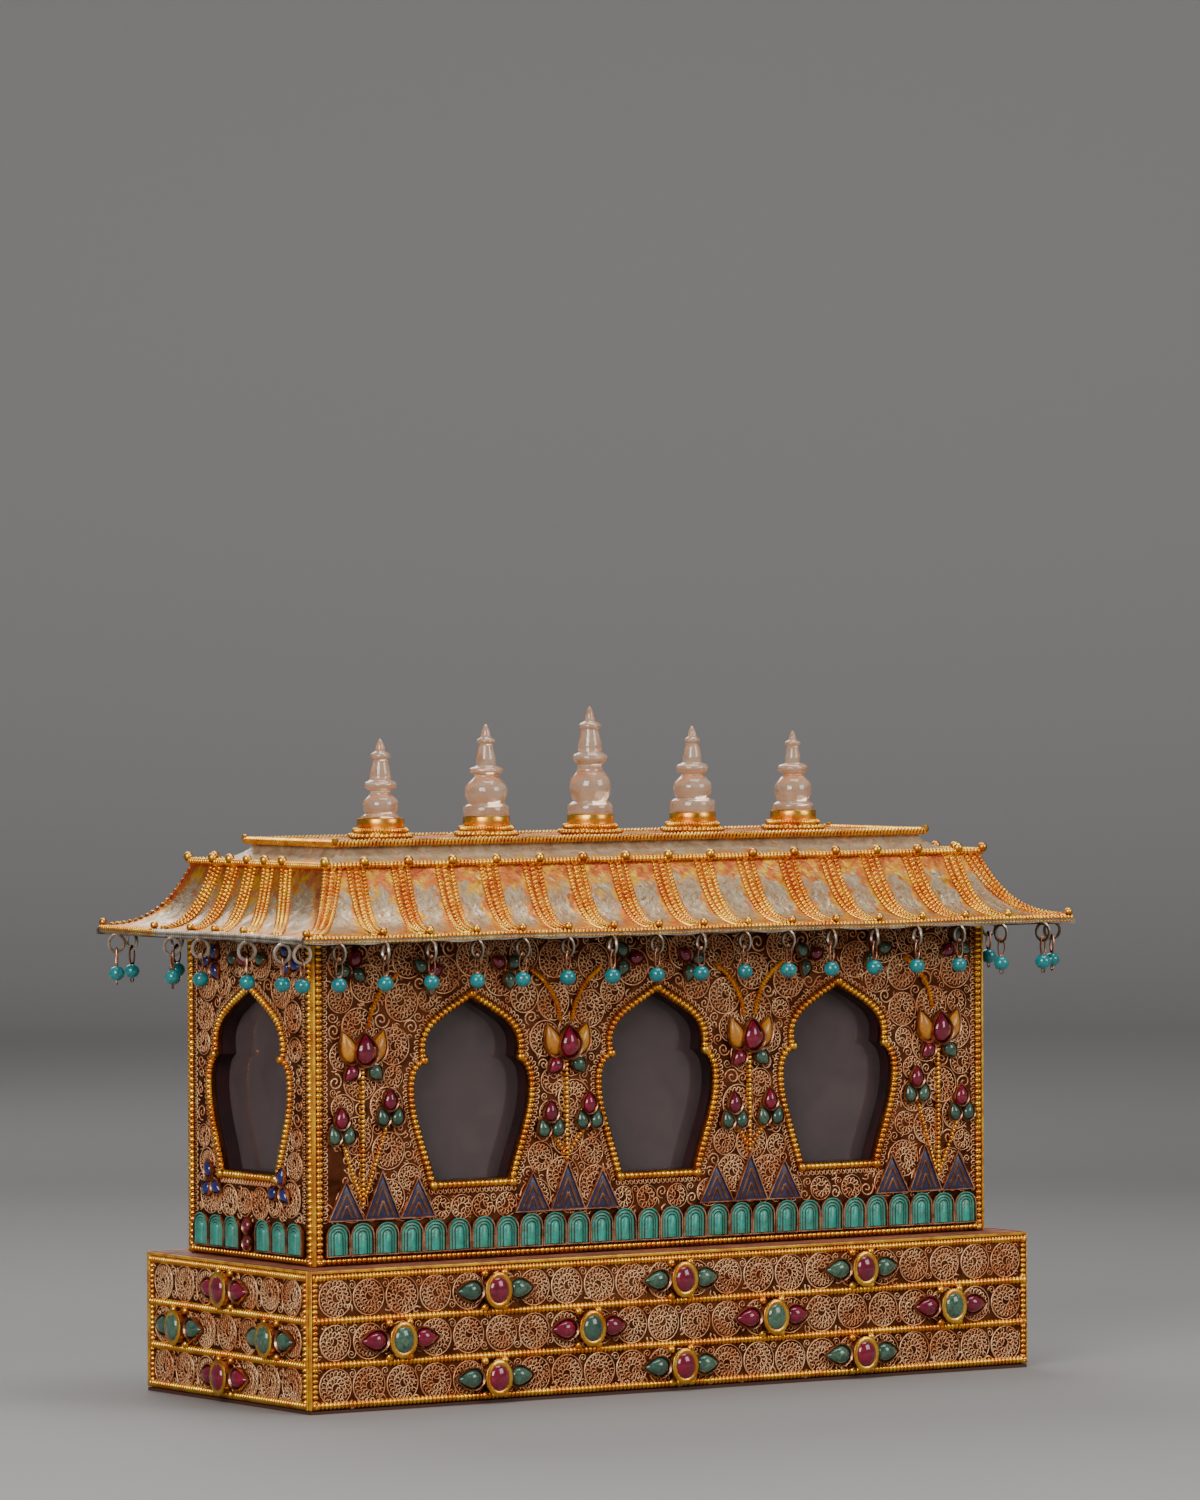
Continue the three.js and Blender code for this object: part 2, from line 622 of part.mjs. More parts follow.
const SHEET_HALF_LENGTH = (EAVE_LENGTH - EAVE_WIRE) / 2 - GAP;
const SHEET_HALF_DEPTH = (EAVE_DEPTH - EAVE_WIRE) / 2 - GAP;

const halfLengthAt = (share) => between(SHEET_HALF_LENGTH, RIDGE_LENGTH / 2, share);
const halfDepthAt = (share) => between(SHEET_HALF_DEPTH, RIDGE_DEPTH / 2, share);

// Height of the sheet's upper face: flat over the brim, then curving up to the ridge.
function heightAt(share) {
  const climb = Math.max(0, (share - BRIM_SHARE) / (1 - BRIM_SHARE));
  return BRIM_TOP + ROOF_RISE * climb * climb;
}

function rectangleRing(halfLength, halfDepth, height) {
  return [
    point(-halfLength, -halfDepth, height),
    point(halfLength, -halfDepth, height),
    point(halfLength, halfDepth, height),
    point(-halfLength, halfDepth, height),
  ];
}

// The sheet's outline at a share of the way up, drawn in by inset, at a given height.
function sheetRing(share, inset, height) {
  return rectangleRing(halfLengthAt(share) - inset, halfDepthAt(share) - inset, height);
}

function roofShell() {
  const upper = ROOF_SHARES.map((share) => sheetRing(share, 0, heightAt(share)));
  const outside = loft([sheetRing(0, 0, BRIM_BOTTOM), ...upper]);
  const shares = ROOF_SHARES.slice(1);
  const hollow = shares.map((share) => sheetRing(share, ROOF_SHEET, heightAt(share) - ROOF_SHEET));
  const mouth = sheetRing(BRIM_SHARE, ROOF_SHEET, BRIM_BOTTOM - ROOF_SHEET);
  return outside.subtract(loft([mouth, ...hollow]));
}

// The flat board under the eave, open over the body's inside.
function roofSoffit() {
  const wall = BODY_SKIN + GAP + BOARD_THICKNESS;
  const openY = BODY_DEPTH / 2 - wall;
  const outline = rectangle(SHEET_HALF_LENGTH, -SHEET_HALF_DEPTH, SHEET_HALF_DEPTH);
  const opening = rectangle(BODY_LENGTH / 2 - wall, -openY, openY);
  return slab(outline, SOFFIT_BOTTOM, SOFFIT_BOTTOM + SOFFIT_THICKNESS, [opening]);
}

// The roof face of a side as [distance out, height] at a share of the way up.
function faceAt(side, share) {
  return flat(side.long ? halfDepthAt(share) : halfLengthAt(share), heightAt(share));
}

// Sheet points and their outward normals where a rib crosses the folds of the face.
function ribStations(side) {
  const shares = [RIB_FOOT_SHARE, ...ROOF_SHARES.slice(1)];
  return shares.map((share) => {
    const here = faceAt(side, share);
    const before = faceAt(side, Math.max(0, share - RIB_SLOPE_REACH));
    const after = faceAt(side, Math.min(1, share + RIB_SLOPE_REACH));
    const along = after.sub(before).normalize();
    return { share, here, normal: flat(along.y, -along.x) };
  });
}

// Where the ridge wire of a side runs: its distance out and its height.
function ridgeWireAt(side) {
  const { here, normal } = ribStations(side).at(-1);
  const centre = here.clone().addScaledVector(normal, GAP + RIDGE_WIRE / 2);
  return { out: centre.x, level: centre.y };
}

// A beaded rib lying on the sheet, from the eave up to the ridge wire.
function rib(side, eaveX, ridgeX) {
  const rings = ribStations(side).map(({ share, here, normal }) => {
    const half = between(RIB_WIDTH_EAVE, RIB_WIDTH_RIDGE, share) / 2;
    const x = between(eaveX, ridgeX, share);
    const base = here.clone().addScaledVector(normal, GAP);
    const crest = here.clone().addScaledVector(normal, GAP + RIB_HEIGHT);
    const right = point(x + half, base.y, base.x);
    const left = point(x - half, base.y, base.x);
    return [point(x, crest.y, crest.x), right, left];
  });
  return loft(rings);
}

// Where the ribs of a side start on the eave and end on the ridge.
function ribPlaces(side) {
  if (side.long) {
    const eaveEnd = EAVE_LENGTH / 2 - FRONT_RIB_MARGINS.eave;
    const ridgeEnd = RIDGE_LENGTH / 2 - FRONT_RIB_MARGINS.ridge;
    return {
      eave: spreadBetween(FRONT_RIBS, -eaveEnd, eaveEnd),
      ridge: spreadBetween(FRONT_RIBS, -ridgeEnd, ridgeEnd),
    };
  }
  const { eaveLeft, eaveRight, ridgeLeft, ridgeRight } = SIDE_RIB_MARGINS;
  return {
    eave: spreadBetween(SIDE_RIBS, eaveLeft - EAVE_DEPTH / 2, EAVE_DEPTH / 2 - eaveRight),
    ridge: spreadBetween(SIDE_RIBS, ridgeLeft - RIDGE_DEPTH / 2, RIDGE_DEPTH / 2 - ridgeRight),
  };
}

function roofRibs(side) {
  const { out, level } = ridgeWireAt(side);
  const end = side.long ? RIDGE_LENGTH / 2 + RIDGE_WIRE : RIDGE_DEPTH / 2 - GAP;
  const parts = [wire(point(-end, level, out), point(end, level, out), RIDGE_WIRE)];
  const { eave, ridge } = ribPlaces(side);
  parts.push(...ridge.map((x, i) => rib(side, eave[i], x)));
  if (side.long) {
    for (const way of [-1, 1]) {
      parts.push(rib(side, way * (SHEET_HALF_LENGTH - RIB_WIDTH_EAVE / 2), (way * RIDGE_LENGTH) / 2));
    }
  }
  return join(parts);
}

function roofCap() {
  const wireInset = RIDGE_WIRE / 2 + GAP;
  const foot = flat(RIDGE_LENGTH / 2 - wireInset, RIDGE_DEPTH / 2 - wireInset);
  const plate = flat(CAP_LENGTH / 2, CAP_DEPTH / 2);
  const neck = flat(plate.x - CAP_NECK_INSET, plate.y - CAP_NECK_INSET);
  const ring = (size, height) => rectangleRing(size.x, size.y, height);
  const body = loft([
    ring(foot, CAP_BOTTOM),
    ...CAP_COVE.map(({ inwards, up }) => ring(foot.clone().lerp(neck, inwards), CAP_BOTTOM + CAP_RISE * up)),
    ring(neck, CAP_TOP - CAP_PLATE),
    ring(plate, CAP_TOP - CAP_PLATE + SINK),
    ring(plate, CAP_TOP),
  ]);
  const level = CAP_TOP - CAP_PLATE / 2;
  const corners = rectangleRing(plate.x, plate.y, level);
  const frame = corners.map((corner, i) => wire(corner, corners[(i + 1) % 4], CAP_WIRE));
  return join([body, ...frame]);
}

// Finials

const COLLAR_TOTAL = COLLAR_STEPS.reduce((sum, step) => sum + step.height, 0);

function finialCollar() {
  const profile = [[0, 0]];
  let level = 0;
  for (const step of COLLAR_STEPS) {
    profile.push([step.radius, level], [step.radius, level + step.height]);
    level += step.height;
  }
  profile.push([0, level]);
  return turned(profile, COLLAR_SIDES);
}

// A finial cut from crystal: flange, bulb, plate, body, disc and spire.
function finial(cut) {
  const form = FINIAL_FORM;
  const profile = [[0, 0]];
  let level = 0;
  const step = (height, radius) => {
    level += height;
    profile.push([radius, level]);
  };
  step(0, cut.flangeR);
  step(cut.flangeH, cut.flangeR * form.flangeTop);
  step(cut.bulbH * form.bulbWaist, cut.bulbR);
  step(cut.bulbH * (1 - form.bulbWaist), cut.neckR);
  step(cut.neckH, cut.neckR);
  step(cut.plateH * form.plateEdge, cut.plateR);
  step(cut.plateH * (1 - form.plateEdge), cut.bodyR);
  step(cut.bodyH, cut.bodyR * form.bodyTop);
  step(cut.discH * form.discEdge, cut.discR);
  step(cut.discH * (1 - form.discEdge), cut.spireR);
  step(cut.spireH, 0);
  return turned(profile, FINIAL_SIDES);
}

// Pendants

// A ring under the eave wire with a link and a bead hanging from it.
function pendant(x, out) {
  const ringCentre = LIP_BOTTOM + RING_WIRE / 2 - RING_RADIUS * Math.cos(Math.PI / RING_SIDES);
  const torus = new THREE.TorusGeometry(RING_RADIUS, RING_WIRE / 2, RING_SECTION_SIDES, RING_SIDES);
  torus.rotateZ(-Math.PI / 2);
  torus.rotateY(Math.PI / 2);
  torus.translate(x, ringCentre, out);
  const linkTop = ringCentre - RING_RADIUS;
  const beadTop = linkTop - LINK_LENGTH;
  const beadFoot = beadTop - PENDANT_BEAD;
  const bead = turned(
    [
      [0, beadFoot - PENDANT_TAIL],
      [PENDANT_BEAD / 2, beadFoot + PENDANT_BEAD * BEAD_SHOULDER_SHARE],
      [PENDANT_BEAD / 2, beadTop - PENDANT_BEAD * BEAD_SHOULDER_SHARE],
      [LINK_WIRE / 2, beadTop],
      [0, linkTop],
    ],
    BEAD_SIDES,
  )
    .rotate([-90, 0, 0])
    .translate([x, 0, out]);
  return join([solid(torus), bead]);
}

function pendants(side) {
  const out = (side.long ? EAVE_DEPTH : EAVE_LENGTH) / 2;
  const half = side.long ? EAVE_LENGTH / 2 + EAVE_WIRE / 2 : EAVE_DEPTH / 2 - EAVE_WIRE / 2 - GAP;
  const low = point(-half, LIP_BOTTOM, out - EAVE_WIRE / 2);
  const rail = block(low, point(half, BRIM_TOP + EAVE_WIRE_RISE, out + EAVE_WIRE / 2));
  const end = EAVE_LENGTH / 2 - FRONT_PENDANT_MARGIN;
  const places = side.long
    ? spreadBetween(FRONT_PENDANTS, -end, end)
    : SIDE_PENDANTS.map((share) => (share * EAVE_DEPTH) / 2);
  return join([rail, ...places.map((x) => pendant(x, out))]);
}

// The whole box

const altarBox = new THREE.Group();
altarBox.add(piece("plinth_box", plinthBox(), "wood"));

for (const side of SIDES) {
  const { turn, upright } = sideGroup(side);
  upright.add(piece(`plinth_panel_${side.name}`, plinthPanel(side), "filigree"));
  upright.add(piece(`wall_${side.name}`, wallBoard(side), "wood"));
  upright.add(piece(`wall_panel_${side.name}`, wallPanel(side), "filigree"));
  upright.add(piece(`tile_row_${side.name}`, tileRow(side), "turquoise"));
  upright.add(piece(`roof_ribs_${side.name}`, roofRibs(side), "gold"));
  upright.add(piece(`pendants_${side.name}`, pendants(side), "turquoise"));
  if (side.long) {
    const centres = windowsOf(side).centres;
    ["left", "middle", "right"].forEach((place, i) => {
      upright.add(piece(`pane_${side.name}_${place}`, pane(side, centres[i]), "glass"));
    });
    [-SPRAY_OUTER, -SPRAY_INNER, SPRAY_INNER, SPRAY_OUTER].forEach((centre, i) => {
      const shift = Math.abs(centre) === SPRAY_OUTER ? Math.sign(centre) * OUTER_SPRAY_SHIFT : 0;
      if (side.plain) {
        upright.add(piece(`peaks_${side.name}_${i + 1}`, peaks(centre), "lapis"));
      } else {
        upright.add(piece(`lotus_spray_${side.name}_${i + 1}`, lotusSpray(centre, shift), "lapis"));
      }
    });
  } else {
    upright.add(piece(`pane_${side.name}`, pane(side, 0), "glass"));
  }
  altarBox.add(turn);
}

altarBox.add(piece("roof_soffit", roofSoffit(), "silver"));
altarBox.add(piece("roof_shell", roofShell(), "silver"));
altarBox.add(piece("roof_cap", roofCap(), "silver"));

const finialEnd = CAP_LENGTH / 2 - FINIAL_MARGIN;
spreadBetween(FINIALS.length, -finialEnd, finialEnd).forEach((x, i) => {
  const collar = piece(`finial_collar_${i + 1}`, finialCollar(), "gold");
  collar.position.set(x, 0, CAP_TOP + GAP);
  const crystal = piece(`finial_${i + 1}`, finial(FINIALS[i]), "crystal");
  crystal.position.set(x, 0, CAP_TOP + GAP + COLLAR_TOTAL + GAP);
  altarBox.add(collar, crystal);
});

export default altarBox;
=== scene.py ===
"""Looks of a small shrine box in filigree metalwork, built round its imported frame.

Lengths are millimetres until a piece is made, when they become metres. A wall's own frame has x along
the wall to the right as seen from outside, y up and z outwards, and every wall is modelled as the front
one and then turned about the upright axis.
"""

import json
import logging
import math
import random
from collections.abc import Callable, Sequence
from dataclasses import dataclass
from enum import Enum

import bmesh
import bpy
import numpy as np
from mathutils import Matrix, Vector

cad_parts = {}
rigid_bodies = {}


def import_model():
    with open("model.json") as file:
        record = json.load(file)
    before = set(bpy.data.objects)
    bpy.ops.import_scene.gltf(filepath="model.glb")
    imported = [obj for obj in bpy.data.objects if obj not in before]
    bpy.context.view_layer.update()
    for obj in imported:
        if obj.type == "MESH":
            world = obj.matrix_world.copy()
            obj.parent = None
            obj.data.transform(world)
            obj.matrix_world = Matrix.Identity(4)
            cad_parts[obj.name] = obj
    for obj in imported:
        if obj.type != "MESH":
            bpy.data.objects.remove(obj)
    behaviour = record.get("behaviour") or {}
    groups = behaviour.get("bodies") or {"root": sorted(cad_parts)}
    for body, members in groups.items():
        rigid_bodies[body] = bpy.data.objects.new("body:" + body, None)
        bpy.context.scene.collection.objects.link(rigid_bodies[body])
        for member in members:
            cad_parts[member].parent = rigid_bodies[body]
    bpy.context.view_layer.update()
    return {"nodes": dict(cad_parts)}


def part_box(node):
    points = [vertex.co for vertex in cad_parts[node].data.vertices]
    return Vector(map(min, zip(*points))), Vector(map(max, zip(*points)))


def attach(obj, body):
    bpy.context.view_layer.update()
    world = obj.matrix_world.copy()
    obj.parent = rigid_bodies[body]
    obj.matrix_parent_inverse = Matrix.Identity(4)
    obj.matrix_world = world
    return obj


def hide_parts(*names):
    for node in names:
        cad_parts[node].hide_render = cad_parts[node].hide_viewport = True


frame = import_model()

LOG = logging.getLogger("shrine_box")
MM = 0.001

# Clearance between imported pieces, and the skin thickness of the clad walls, both as packed.
GAP = 0.3
SKIN = 1.6

Colour = tuple[int, int, int]
Socket = bpy.types.NodeSocket
Scale = float | Sequence[float]
Pair = tuple[float, float]
Triple = tuple[float, float, float]


def linear(colour: Colour) -> tuple[float, ...]:
    """A linear colour from 8-bit screen values."""
    shares = [value / 255 for value in colour]
    return (*(s / 12.92 if s <= 0.04045 else ((s + 0.055) / 1.055) ** 2.4 for s in shares), 1.0)


def node_box(name: str) -> tuple[Vector, Vector]:
    """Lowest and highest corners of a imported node, in millimetres."""
    low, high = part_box(name)
    return low / MM, high / MM


class Wall(Enum):
    """The four sides, each with the turn in degrees that brings the front to it."""

    FRONT = 0
    RIGHT = 90
    BACK = 180
    LEFT = -90

    @property
    def long(self) -> bool:
        """Whether this is one of the two long sides."""
        return self in (Wall.FRONT, Wall.BACK)

    @property
    def plain(self) -> bool:
        """Whether this side is finished more plainly."""
        return self is Wall.BACK

    @property
    def label(self) -> str:
        """The side's name in piece names."""
        return self.name.lower()

    @property
    def seed(self) -> int:
        """A number of the side's own for seeded chance."""
        return self.value % 360


class Shader:
    """A node material on the piece's own coordinates, built step by step."""

    def __init__(self, name: str, **values: float) -> None:
        """Starts the material, with plain values of the shader under their names."""
        self.material = bpy.data.materials.new(name)
        self.material.use_nodes = True
        self.tree = self.material.node_tree
        self.surface = self.tree.nodes["Principled BSDF"]
        self.place = self.tree.nodes.new("ShaderNodeTexCoord").outputs["Object"]
        for key, value in values.items():
            self.surface.inputs[key.replace("_", " ")].default_value = value

    def link(self, source: Socket, socket: str) -> None:
        """Joins a value to a socket of the shader."""
        self.tree.links.new(source, self.surface.inputs[socket])

    def node(self, kind: str, output: str | int, inputs: dict, **choices: str) -> Socket:
        """Adds a node.

        Args:
            kind: its type.
            output: name or number of the output that is read.
            inputs: a plain value or a socket for each input, by name or number.
            choices: its other settings.

        Returns:
            The output.
        """
        node = self.tree.nodes.new(f"ShaderNode{kind}")
        for key, value in choices.items():
            setattr(node, key, value)
        for key, value in inputs.items():
            if isinstance(value, Socket):
                self.tree.links.new(value, node.inputs[key])
            else:
                node.inputs[key].default_value = linear(value) if isinstance(value, tuple) else value
        return node.outputs[output]

    def noise(self, size: float, detail: float = 4, distortion: float = 0) -> Socket:
        """Cloudy noise whose patches are about size millimetres wide."""
        inputs = {"Vector": self.place, "Scale": 1 / (size * MM), "Detail": detail, "Distortion": distortion}
        return self.node("TexNoise", "Fac", inputs)

    def cracks(self, size: float) -> Socket:
        """Distance to the nearest vein of a net whose cells are about size millimetres wide."""
        inputs = {"Vector": self.place, "Scale": 1 / (size * MM)}
        return self.node("TexVoronoi", "Distance", inputs, feature="DISTANCE_TO_EDGE")

    def attribute(self, name: str) -> Socket:
        """A value stored on the mesh."""
        return self.node("Attribute", "Fac", {}, attribute_name=name)

    def share(self, value: Socket, low: float, high: float, ends: Pair = (0, 1)) -> Socket:
        """A value stretched so that low and high give the two ends of a range."""
        inputs = {"Value": value, "From Min": low, "From Max": high, "To Min": ends[0], "To Max": ends[1]}
        return self.node("MapRange", "Result", inputs)

    def joined(self, first: Socket, second: Socket, operation: str) -> Socket:
        """Two values added or multiplied."""
        return self.node("Math", 0, {0: first, 1: second}, operation=operation)

    def mix(self, factor: Socket, first: Socket | Colour, second: Socket | Colour) -> Socket:
        """Two colours mixed: a factor of 0 gives the first and 1 the second."""
        return self.node("Mix", 2, {"Factor": factor, 6: first, 7: second}, data_type="RGBA")

    def bump(self, height: Socket, depth: float) -> None:
        """Fine relief of a depth in millimetres on the shader's normal."""
        inputs = {"Strength": 1, "Distance": depth * MM, "Height": height}
        self.link(self.node("Bump", "Normal", inputs), "Normal")


@dataclass(frozen=True)
class Metal:
    """A worn metal: bright on its crests, dull and coppery in patches, with painted shade in its hollows."""

    name: str
    bright: Colour
    worn: Colour
    painted_hollow_shade: Colour
    roughness: float
    patch: float = 9
    grain: float = 0.5
    relief: float = 0.05
    metallic: float = 1.0

    def material(self) -> bpy.types.Material:
        """The node material."""
        shader = Shader(self.name, Metallic=self.metallic)
        patches = shader.share(shader.noise(self.patch, 5, 0.6), 0.38, 0.62)
        body = shader.mix(patches, self.bright, self.worn)
        speckle = shader.share(shader.noise(self.grain, 3), 0.58, 0.75)
        body = shader.mix(speckle, body, self.worn)
        # Painted shade: low parts of each form are mixed towards the dark hollow colour. These are the feet
        # of wires, bezels and collars against the wall, the undersides of balls, and the ends of beads where
        # they meet.
        crest = shader.share(shader.attribute("crest"), 0.0, 0.55)
        shader.link(shader.mix(crest, self.painted_hollow_shade, body), "Base Color")
        rough = shader.noise(self.patch / 3, 4)
        ends = (self.roughness - 0.08, self.roughness + 0.15)
        shader.link(shader.share(rough, 0.2, 0.9, ends), "Roughness")
        shader.bump(shader.noise(self.grain, 5), self.relief)
        return shader.material


@dataclass(frozen=True)
class Gemstone:
    """A polished stone with clouds, and veins where it has them."""

    name: str
    light: Colour
    deep: Colour
    vein: Colour
    vein_size: float = 2.5
    vein_reach: float = 0.05
    cloud: float = 2.2
    roughness: float = 0.14
    coat: float = 0.6

    def material(self) -> bpy.types.Material:
        """The node material."""
        shader = Shader(self.name, Roughness=self.roughness, Coat_Weight=self.coat, Coat_Roughness=0.06)
        tone = shader.attribute("tone")
        clouds = shader.share(shader.noise(self.cloud, 5, 1.2), 0.3, 0.7)
        body = shader.mix(clouds, self.deep, self.light)
        body = shader.mix(shader.share(tone, 0.0, 1.6), body, self.deep)
        veins = shader.share(shader.cracks(self.vein_size), self.vein_reach, 0.0)
        patchy = shader.share(shader.noise(self.vein_size * 2, 2), 0.5, 0.62)
        weight = shader.joined(veins, patchy, "MULTIPLY")
        shader.link(shader.mix(weight, body, self.vein), "Base Color")
        shader.bump(shader.noise(self.cloud / 3, 3), 0.02)
        return shader.material


@dataclass(frozen=True)
class Tilework:
    """Cut turquoise with brown lines in its grooves, and green at the foot of some tiles."""

    name: str = "cut_turquoise"

    def material(self) -> bpy.types.Material:
        """The node material."""
        shader = Shader(self.name, Roughness=0.38, Coat_Weight=0.25, Coat_Roughness=0.2)
        clouds = shader.share(shader.noise(4, 5, 0.8), 0.3, 0.7)
        body = shader.mix(clouds, (10, 124, 108), (34, 168, 146))
        body = shader.mix(shader.share(shader.noise(1.5, 5, 1.8), 0.54, 0.68), body, (106, 92, 58))
        green = shader.share(shader.attribute("tone"), 0.55, 1.0)
        body = shader.mix(green, body, (44, 112, 26))
        crest = shader.share(shader.attribute("crest"), 0.3, 0.95)
        shader.link(shader.mix(crest, (92, 66, 42), body), "Base Color")
        shader.bump(shader.noise(0.8, 5), 0.08)
        return shader.material


@dataclass(frozen=True)
class RoofSheet:
    """Hammered silver with a wash of gold that thickens to orange along the ribs and edges."""

    name: str
    metallic: float

    def material(self) -> bpy.types.Material:
        """The node material."""
        shader = Shader(self.name, Metallic=self.metallic)
        clouds = shader.share(shader.noise(7, 6, 0.8), 0.3, 0.7)
        silver = shader.mix(clouds, (210, 190, 156), (150, 126, 96))
        stains = shader.share(shader.noise(2.4, 6, 1.5), 0.5, 0.68)
        silver = shader.mix(stains, silver, (170, 118, 80))
        blotch = shader.share(shader.noise(6, 5, 1.0), 0.3, 0.7, (-0.3, 0.34))
        wash = shader.joined(shader.attribute("wash"), blotch, "ADD")
        shades = shader.share(shader.noise(5, 4), 0.42, 0.58)
        gold = shader.mix(shades, (222, 166, 44), (206, 116, 58))
        body = shader.mix(shader.share(wash, 0.4, 0.6), silver, gold)
        shader.link(shader.mix(shader.share(wash, 0.7, 1.0), body, (176, 88, 50)), "Base Color")
        shader.link(shader.share(clouds, 0, 1, (0.3, 0.55)), "Roughness")
        shader.bump(shader.noise(2.2, 5, 0.4), 0.35)
        return shader.material


@dataclass(frozen=True)
class Lacquer:
    """Painted wood: a flat coat with grain showing through, darker in patches, with painted shade along its
    foot where a foot height is given.
    """

    name: str
    coat: Colour
    worn: Colour
    roughness: float = 0.6
    painted_foot_shade: float = 0

    def material(self) -> bpy.types.Material:
        """The node material."""
        shader = Shader(self.name, Roughness=self.roughness)
        patches = shader.share(shader.noise(12, 6, 0.5), 0.35, 0.68)
        body = shader.mix(patches, self.coat, self.worn)
        fleck = shader.share(shader.noise(1.0, 4), 0.62, 0.72)
        body = shader.mix(fleck, body, self.worn)
        if self.painted_foot_shade:
            # Painted shade: the coat turns dark brown towards the bottom, fading in below the given height,
            # in place of a contact shadow.
            level = shader.node("SeparateXYZ", "Z", {"Vector": shader.place})
            foot = shader.share(level, self.painted_foot_shade * MM, self.painted_foot_shade * MM / 2)
            body = shader.mix(foot, body, (74, 38, 26))
        shader.link(body, "Base Color")
        shader.bump(shader.noise(0.7, 5), 0.12)
        return shader.material


@dataclass(frozen=True)
class Crystal:
    """Clear rock crystal with a blush of old pigment on its surface."""

    name: str = "rock_crystal"

    def material(self) -> bpy.types.Material:
        """The node material."""
        shader = Shader(self.name, Roughness=0.06, IOR=1.5, Transmission_Weight=0.74, Coat_Weight=0.5)
        clouds = shader.share(shader.noise(5, 5, 1.0), 0.42, 0.66)
        blush = shader.mix(clouds, (255, 226, 196), (244, 190, 146))
        spots = shader.share(shader.noise(2.6, 4, 2.0), 0.64, 0.74)
        shader.link(shader.mix(spots, blush, (206, 92, 56)), "Base Color")
        shader.bump(shader.noise(1.6, 4), 0.05)
        return shader.material


@dataclass(frozen=True)
class WindowGlass:
    """Dark window glass that mirrors the room softly; its mostly opaque grey is partly the glass's dark tint
    and partly a painted reflection of the grey room.
    """

    name: str = "dark_glass"

    def material(self) -> bpy.types.Material:
        """The node material."""
        shader = Shader(self.name, Roughness=0.07, IOR=1.5, Transmission_Weight=0.15)
        # The grey base colour, in soft patches, is partly the dark tint and partly a painted reflection of
        # the room.
        tint_and_reflection_patches = shader.share(shader.noise(14, 6, 0.6), 0.3, 0.75)
        shader.link(shader.mix(tint_and_reflection_patches, (80, 66, 66), (92, 77, 76)), "Base Color")
        return shader.material


class Finish(Enum):
    """Every finish on the box, with what makes its material and the record's slot it belongs to."""

    FILIGREE = (
        Metal("filigree_wire", (252, 200, 148), (222, 144, 92), (124, 68, 40), 0.3, 11,
              metallic=0.6), "filigree")
    GROUND = (
        Metal("filigree_ground", (114, 64, 38), (76, 40, 24), (56, 31, 20), 0.6, 8), "filigree")
    GOLD = (Metal("gilt_beads", (252, 198, 76), (226, 146, 58), (84, 38, 12), 0.28, 10), "gilt")
    LEAF_GOLD = (
        Metal("gilt_strip", (238, 186, 50), (196, 124, 46), (150, 96, 26), 0.4, 6,
              metallic=0.5), "gilt")
    COPPER = (
        Metal("bare_copper", (216, 160, 124), (156, 96, 68), (72, 42, 30), 0.34, 5), "copper")
    SILVER = (
        Metal("worn_silver", (216, 204, 186), (170, 150, 128), (92, 76, 62), 0.32, 6,
              metallic=0.85), "silver")
    ROOF = (RoofSheet("washed_silver", 0.85), "silver")
    CAP = (RoofSheet("washed_cap", 0.3), "silver")
    TURQUOISE = (
        Gemstone("turquoise_bead", (20, 152, 154), (8, 108, 112), (74, 50, 34), 2.8, 0.07),
        "turquoise")
    TILE = (Tilework(), "turquoise")
    LAPIS = (
        Gemstone("lapis_stone", (38, 46, 132), (18, 22, 82), (64, 60, 96), 3.0, 0.03), "lapis")
    CARVED_LAPIS = (
        Gemstone("carved_lapis", (56, 50, 90), (28, 25, 60), (96, 68, 70), 2.4, 0.05, 3, 0.34,
                 0.15), "lapis")
    RUBY = (Gemstone("ruby_stone", (154, 14, 54), (90, 8, 32), (54, 8, 20), 2.2, 0.03), "ruby")
    GREEN = (
        Gemstone("polished_green_stone", (92, 124, 98), (32, 66, 54), (56, 56, 38), 2.4, 0.05),
        "green_stone")
    AMBER = (
        Gemstone("amber_stone", (224, 158, 50), (184, 110, 28), (128, 66, 20), 2.6, 0.04, 3, 0.3,
                 0.25), "amber")
    CRYSTAL = (Crystal(), "crystal")
    GLASS = (WindowGlass(), "window_glass")
    # The plinth paint's last value is the height of the painted shade along its foot.
    PLINTH_PAINT = (Lacquer("plinth_paint", (178, 104, 78), (120, 66, 50), 0.62, 6), "wood")
    BOARD_PAINT = (Lacquer("board_paint", (52, 19, 22), (30, 12, 14), 0.5), "wood")

    @property
    def slot(self) -> str:
        """The record's material slot."""
        return self.value[1]

    def material(self) -> bpy.types.Material:
        """The material, made on its first use."""
        maker = self.value[0]
        return bpy.data.materials.get(maker.name) or maker.material()


